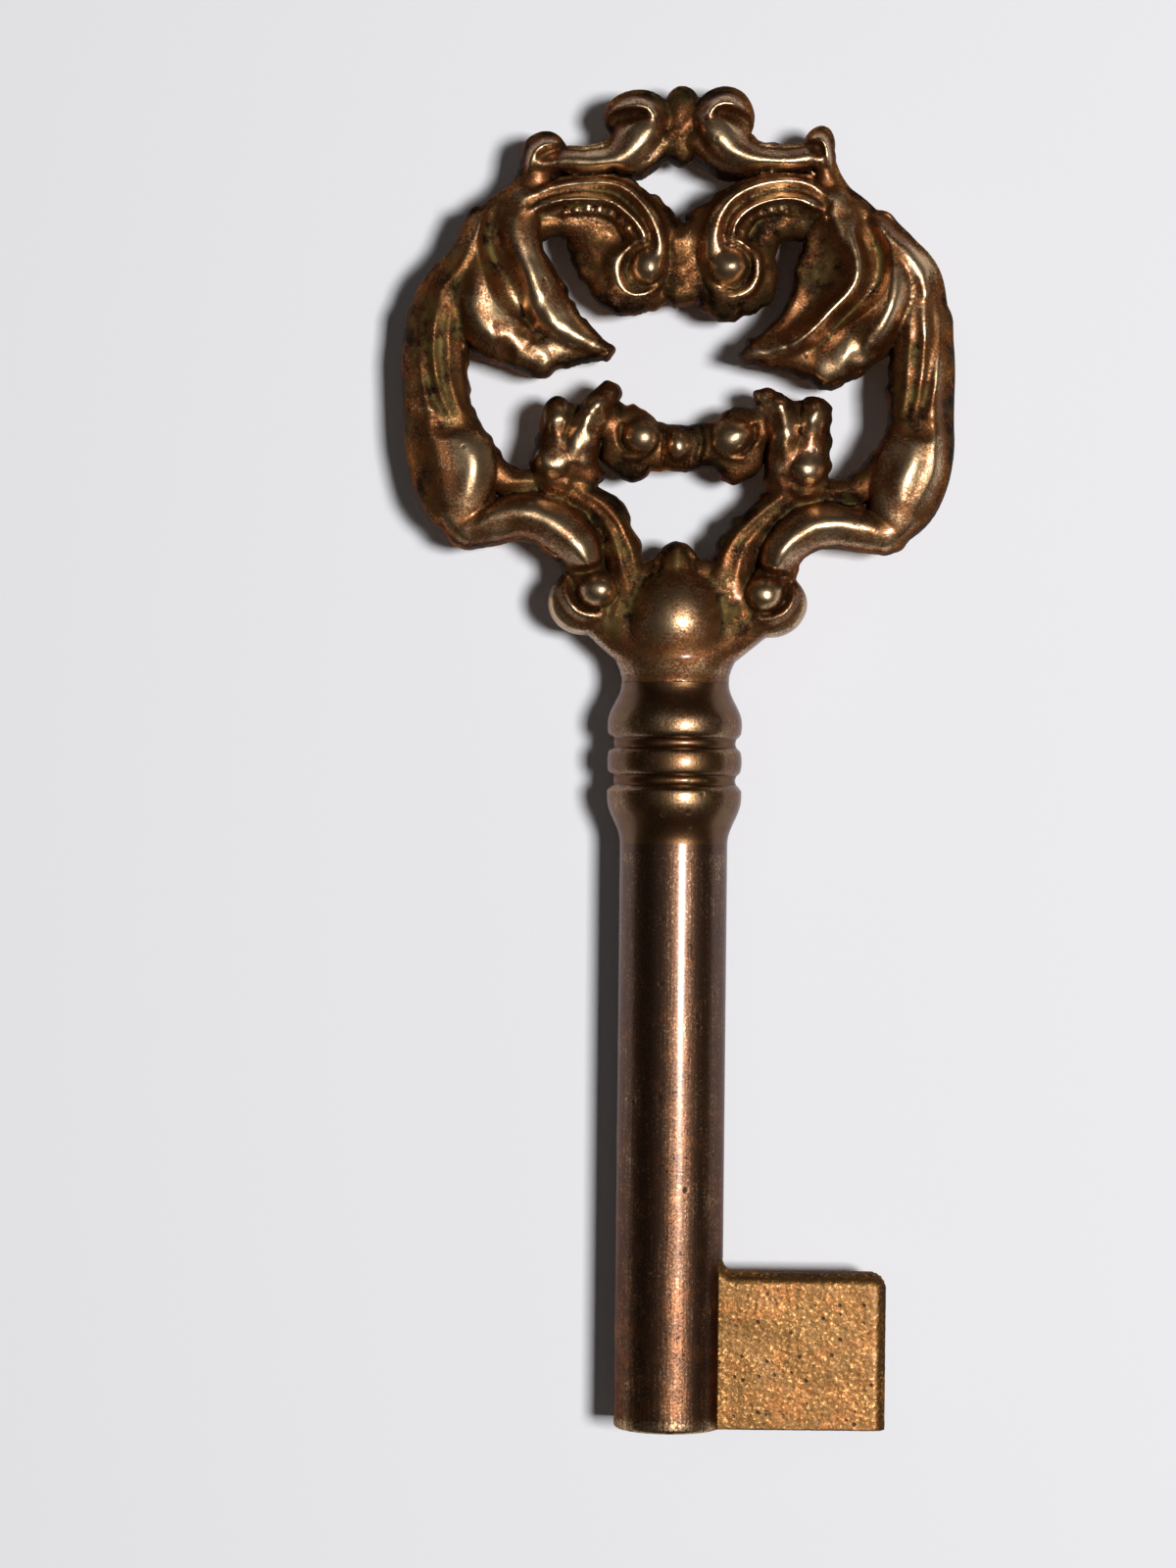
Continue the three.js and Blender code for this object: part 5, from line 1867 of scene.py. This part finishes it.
# %% Draw the barrel's profile
BORE_RADIUS_MM = 2.0
BORE_DEPTH_MM = 20.0
SOCKET_DEPTH_MM = 5.3
END_ROUND_MM = 0.25
END_ROUND_POINTS = 5
DRILL_POINT_MM = 1.2


def barrel_profile():
    foot, top = barrel_low[1], barrel_high[1]
    socket = TENON_RADIUS_MM + TENON_CLEARANCE_MM
    corner = [
        (barrel_radius - END_ROUND_MM * (1 - math.sin(a)), foot + END_ROUND_MM * (1 - math.cos(a)))
        for a in np.linspace(0, math.pi / 2, END_ROUND_POINTS)
    ]
    return [
        (BORE_RADIUS_MM + END_ROUND_MM, foot), *corner, (barrel_radius, top), (socket, top),
        (socket, top - SOCKET_DEPTH_MM), (0.0, top - SOCKET_DEPTH_MM),
        (0.0, foot + BORE_DEPTH_MM + DRILL_POINT_MM), (BORE_RADIUS_MM, foot + BORE_DEPTH_MM),
        (BORE_RADIUS_MM, foot + END_ROUND_MM),
    ]


print("barrel profile:", len(barrel_profile()), "corners")

# %% Turn the barrel and mill the slot
BIT_HALF_THICKNESS_MM = (bit_high[2] - bit_low[2]) / 2
SLOT_CLEARANCE_MM = 0.05
CUT_OVERRUN_MM = 1
BARREL_PROUD_MM = (0.02, 0.12)
END_WEAR_MM = 0.7
END_WEAR_STRENGTH = 2.0


def cut_box(piece, low, high):
    """Cuts a box, given by two corners, out of a piece."""
    corners = list(itertools.product(*zip(low, high)))
    faces = [(0, 1, 3, 2), (4, 6, 7, 5), (0, 4, 5, 1), (2, 3, 7, 6), (0, 2, 6, 4), (1, 5, 7, 3)]
    cutter = new_piece("slot_cutter", corners, np.array(faces))
    modifier = piece.modifiers.new("slot", "BOOLEAN")
    modifier.operation = "DIFFERENCE"
    modifier.object = cutter
    plain_mesh(piece)
    bpy.data.objects.remove(cutter)


barrel = turned_piece("barrel_bar", barrel_profile(), turned_brass)
shade(barrel.data, TURNED_SHARP_DEG)
slot_half = BIT_HALF_THICKNESS_MM + SLOT_CLEARANCE_MM
slot_top = bit_high[1] + SLOT_CLEARANCE_MM
slot_low = (bit_low[0], bit_low[1] - CUT_OVERRUN_MM, -slot_half)
cut_box(barrel, slot_low, (barrel_radius + CUT_OVERRUN_MM, slot_top, slot_half))
shade(barrel.data, TURNED_SHARP_DEG)
mark_wear(barrel.data, TURNED_WEAR_PASSES, BARREL_PROUD_MM, joints_mm=[barrel_high[1]])
from_end = mesh_points(barrel.data)[:, 1] - barrel_low[1]
add_to_mark(barrel.data, "wear", END_WEAR_STRENGTH * np.clip(1 - from_end / END_WEAR_MM, 0, 1))
print("barrel mesh:", len(barrel.data.polygons), "faces")

# %% [markdown]
# ## The bit
# The bit is a plain flag with rounded edges, left rough from the casting, and filed flush with the barrel's
# end. A thin fillet of braze runs along both faces where it meets the barrel. It is a relief again: the
# height falls in a quarter circle near each rounded edge, and rises in a hollow curve against the barrel.

# %% Draw the bit's relief
BIT_CELL_MM = 0.08
EDGE_ROUND_MM = 0.8
CORNER_ROUND_MM = 0.9
TOP_FILLET_MM = 0.7
OUTSIDE_DROP_MM = 1
OUTSIDE_STEEPNESS = 2
BIT_MARGIN_MM = 0.33
BIT_TOP_MARGIN_MM = 0.5

bit_x = np.arange(bit_low[0] - BIT_MARGIN_MM, bit_high[0] + BIT_MARGIN_MM, BIT_CELL_MM)
bit_y = np.arange(bit_low[1] - BIT_MARGIN_MM, bit_high[1] + BIT_TOP_MARGIN_MM, BIT_CELL_MM)
flag_top = bit_high[1] - TOP_FILLET_MM


def flag_inset(px, py):
    """How far a place lies inside the flag's upper and outer edges, with the corner rounded."""
    right = bit_high[0] - px
    above = flag_top - py
    past = np.hypot(np.maximum(CORNER_ROUND_MM - right, 0), np.maximum(CORNER_ROUND_MM - above, 0))
    in_corner = (right < CORNER_ROUND_MM) & (above < CORNER_ROUND_MM)
    return np.where(in_corner, CORNER_ROUND_MM - past, np.minimum(right, above))


def fillet_inset(px, py):
    """The hollow quarter circle between the flag's upper edge and the barrel, in plan."""
    centre_x, centre_y = barrel_radius + TOP_FILLET_MM, flag_top + TOP_FILLET_MM
    inset = np.hypot(px - centre_x, py - centre_y) - TOP_FILLET_MM
    return np.where((px < centre_x) & (py < centre_y), inset, -1.0)


def edge_height(inset):
    """Half the flag's thickness, rounded off towards its edge."""
    flat = BIT_HALF_THICKNESS_MM - EDGE_ROUND_MM
    rounded = EDGE_ROUND_MM * signed_root(1 - (1 - np.minimum(inset / EDGE_ROUND_MM, 1)) ** 2)
    return np.where(inset < 0, -OUTSIDE_DROP_MM - OUTSIDE_STEEPNESS * np.abs(inset), flat + rounded)


print("flag", round(bit_high[0] - barrel_radius, 2), "mm out and", round(flag_top - bit_low[1], 2), "mm long")

# %% Add the braze and skin the bit
BRAZE_ROUND_MM = 0.6
BRAZE_SUNK_MM = 0.04
LEAST_BRAZE_MM = 1.2
NO_LIMIT_MM = 9.0
BRAZE_MARGIN_MM = 0.2
BIT_WAVE_MM = 0.02
BIT_WAVE_SPACING_MM = 1.4


def braze_height(px):
    """Hollow fillet from the barrel's skin to the flag's face."""
    reach = barrel_radius + BRAZE_ROUND_MM
    centre_z = BIT_HALF_THICKNESS_MM + BRAZE_ROUND_MM
    centre_x = math.sqrt(reach**2 - centre_z**2)
    away = np.clip((centre_x - px) / BRAZE_ROUND_MM, 0, 1)
    return centre_z - BRAZE_ROUND_MM * np.sqrt(1 - away**2)


def bit_relief():
    px, py = np.meshgrid(bit_x, bit_y, indexing="ij")
    inset = np.maximum(flag_inset(px, py), fillet_inset(px, py))
    height = edge_height(inset)
    under_skin = np.sqrt(np.maximum(barrel_radius**2 - px**2, 0)) - BRAZE_SUNK_MM
    braze_limit = np.where(px < barrel_radius, np.maximum(under_skin, LEAST_BRAZE_MM), NO_LIMIT_MM)
    braze = np.minimum(braze_height(px), braze_limit)
    brazed = height + np.maximum(braze - BIT_HALF_THICKNESS_MM, 0)
    height = np.where((px < barrel_radius + BRAZE_MARGIN_MM) & (inset > 0), brazed, height)
    height = height + BIT_WAVE_MM * soft_noise(px, py, BIT_WAVE_SPACING_MM, SEED + 5)
    return np.where((px < bit_low[0]) | (py < bit_low[1]), BELOW_ALL, height)


bit_heights = bit_relief()
bit_points, bit_faces = relief_skin(
    bit_heights, bit_x, bit_y, BIT_CELL_MM, square_ends=[(1, bit_low[1]), (0, bit_low[0])]
)
print("bit skin:", len(bit_points), "points")

# %% [markdown]
# The bit still has the skin of the sand mould on it, but not on the end that is filed flush. A third Geometry
# Nodes tree leaves that end alone and pushes all other points along their normals by a seeded noise, with its
# grain size and depth as inputs.

# %% A Geometry Nodes tree for the sand skin
def build_sand_tree():
    tree, start, end = new_geometry_tree("sand_skin", {
        "Grain Size": "NodeSocketFloat", "Grain Depth": "NodeSocketFloat", "Seed": "NodeSocketFloat",
        "Flush Level": "NodeSocketFloat", "Material": "NodeSocketMaterial",
    })
    place = add_node(tree, "GeometryNodeInputPosition").outputs[0]
    scale = math_node(tree, "DIVIDE", 1.0, start["Grain Size"])
    noise = add_node(tree, "ShaderNodeTexNoise", {"noise_dimensions": "4D"}, {
        "Vector": place, "W": start["Seed"], "Scale": scale, "Detail": 3.0, "Roughness": 0.6,
    })
    push = math_node(tree, "SUBTRACT", noise.outputs[0], 0.5)
    push = math_node(tree, "MULTIPLY", push, start["Grain Depth"])
    normal = add_node(tree, "GeometryNodeInputNormal").outputs[0]
    offset = add_node(tree, "ShaderNodeVectorMath", {"operation": "SCALE"}, {0: normal, "Scale": push})
    along = add_node(tree, "ShaderNodeSeparateXYZ", inputs={0: place}).outputs["Y"]
    free = math_node(tree, "GREATER_THAN", along, start["Flush Level"])
    pushed = add_node(tree, "GeometryNodeSetPosition", inputs={
        "Geometry": start["Geometry"], "Selection": free, "Offset": offset.outputs[0],
    })
    finish_tree(tree, pushed.outputs[0], start["Material"], end)
    return tree


sand_tree = build_sand_tree()
print("tree", sand_tree.name)

# %% Make the bit's mesh
SAND_GRAIN_MM = 0.35
SAND_DEPTH_MM = 0.07
FLUSH_MM = 0.05
BIT_SHARP_DEG = 50
BIT_WEAR_PASSES = (4, 40)
BIT_PROUD_MM = (0.02, 0.2)
BIT_EDGE_SHADE_MM = 1.27
BIT_EDGE_SHADE_FADE_MM = 0.35

bit = new_piece("bit_flag", bit_points, bit_faces)
apply_tree(bit, sand_tree, {
    "Grain Size": SAND_GRAIN_MM * MM, "Grain Depth": SAND_DEPTH_MM * MM, "Seed": float(SEED),
    "Flush Level": (bit_low[1] + FLUSH_MM) * MM, "Material": bare_brass,
})
shade(bit.data, BIT_SHARP_DEG)
# The bit's rounded edges and filed end count as low ground, so they are darkened: painted shade.
mark_wear(bit.data, BIT_WEAR_PASSES, BIT_PROUD_MM, low_mm=BIT_EDGE_SHADE_MM, fade_mm=BIT_EDGE_SHADE_FADE_MM)
print("bit mesh:", len(bit.data.polygons), "faces")

# %% [markdown]
# ## Putting the key together
# Each fine piece takes the place of its construction solid and moves with the one rigid body of the key. The
# bow was made before the finishes were, so it is given its own here.

# %% Dress the model and finish
bow.data.materials.clear()
bow.data.materials.append(cast_brass)
for piece, node, finish_slot in (
    (bow, "bow", "cast_brass"), (collar, "collar", "turned_brass"),
    (barrel, "barrel", "turned_brass"), (bit, "bit", "worn_brass"),
):
    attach(piece, "root")
    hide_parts(node)
    print(piece.name, "stands for", node)
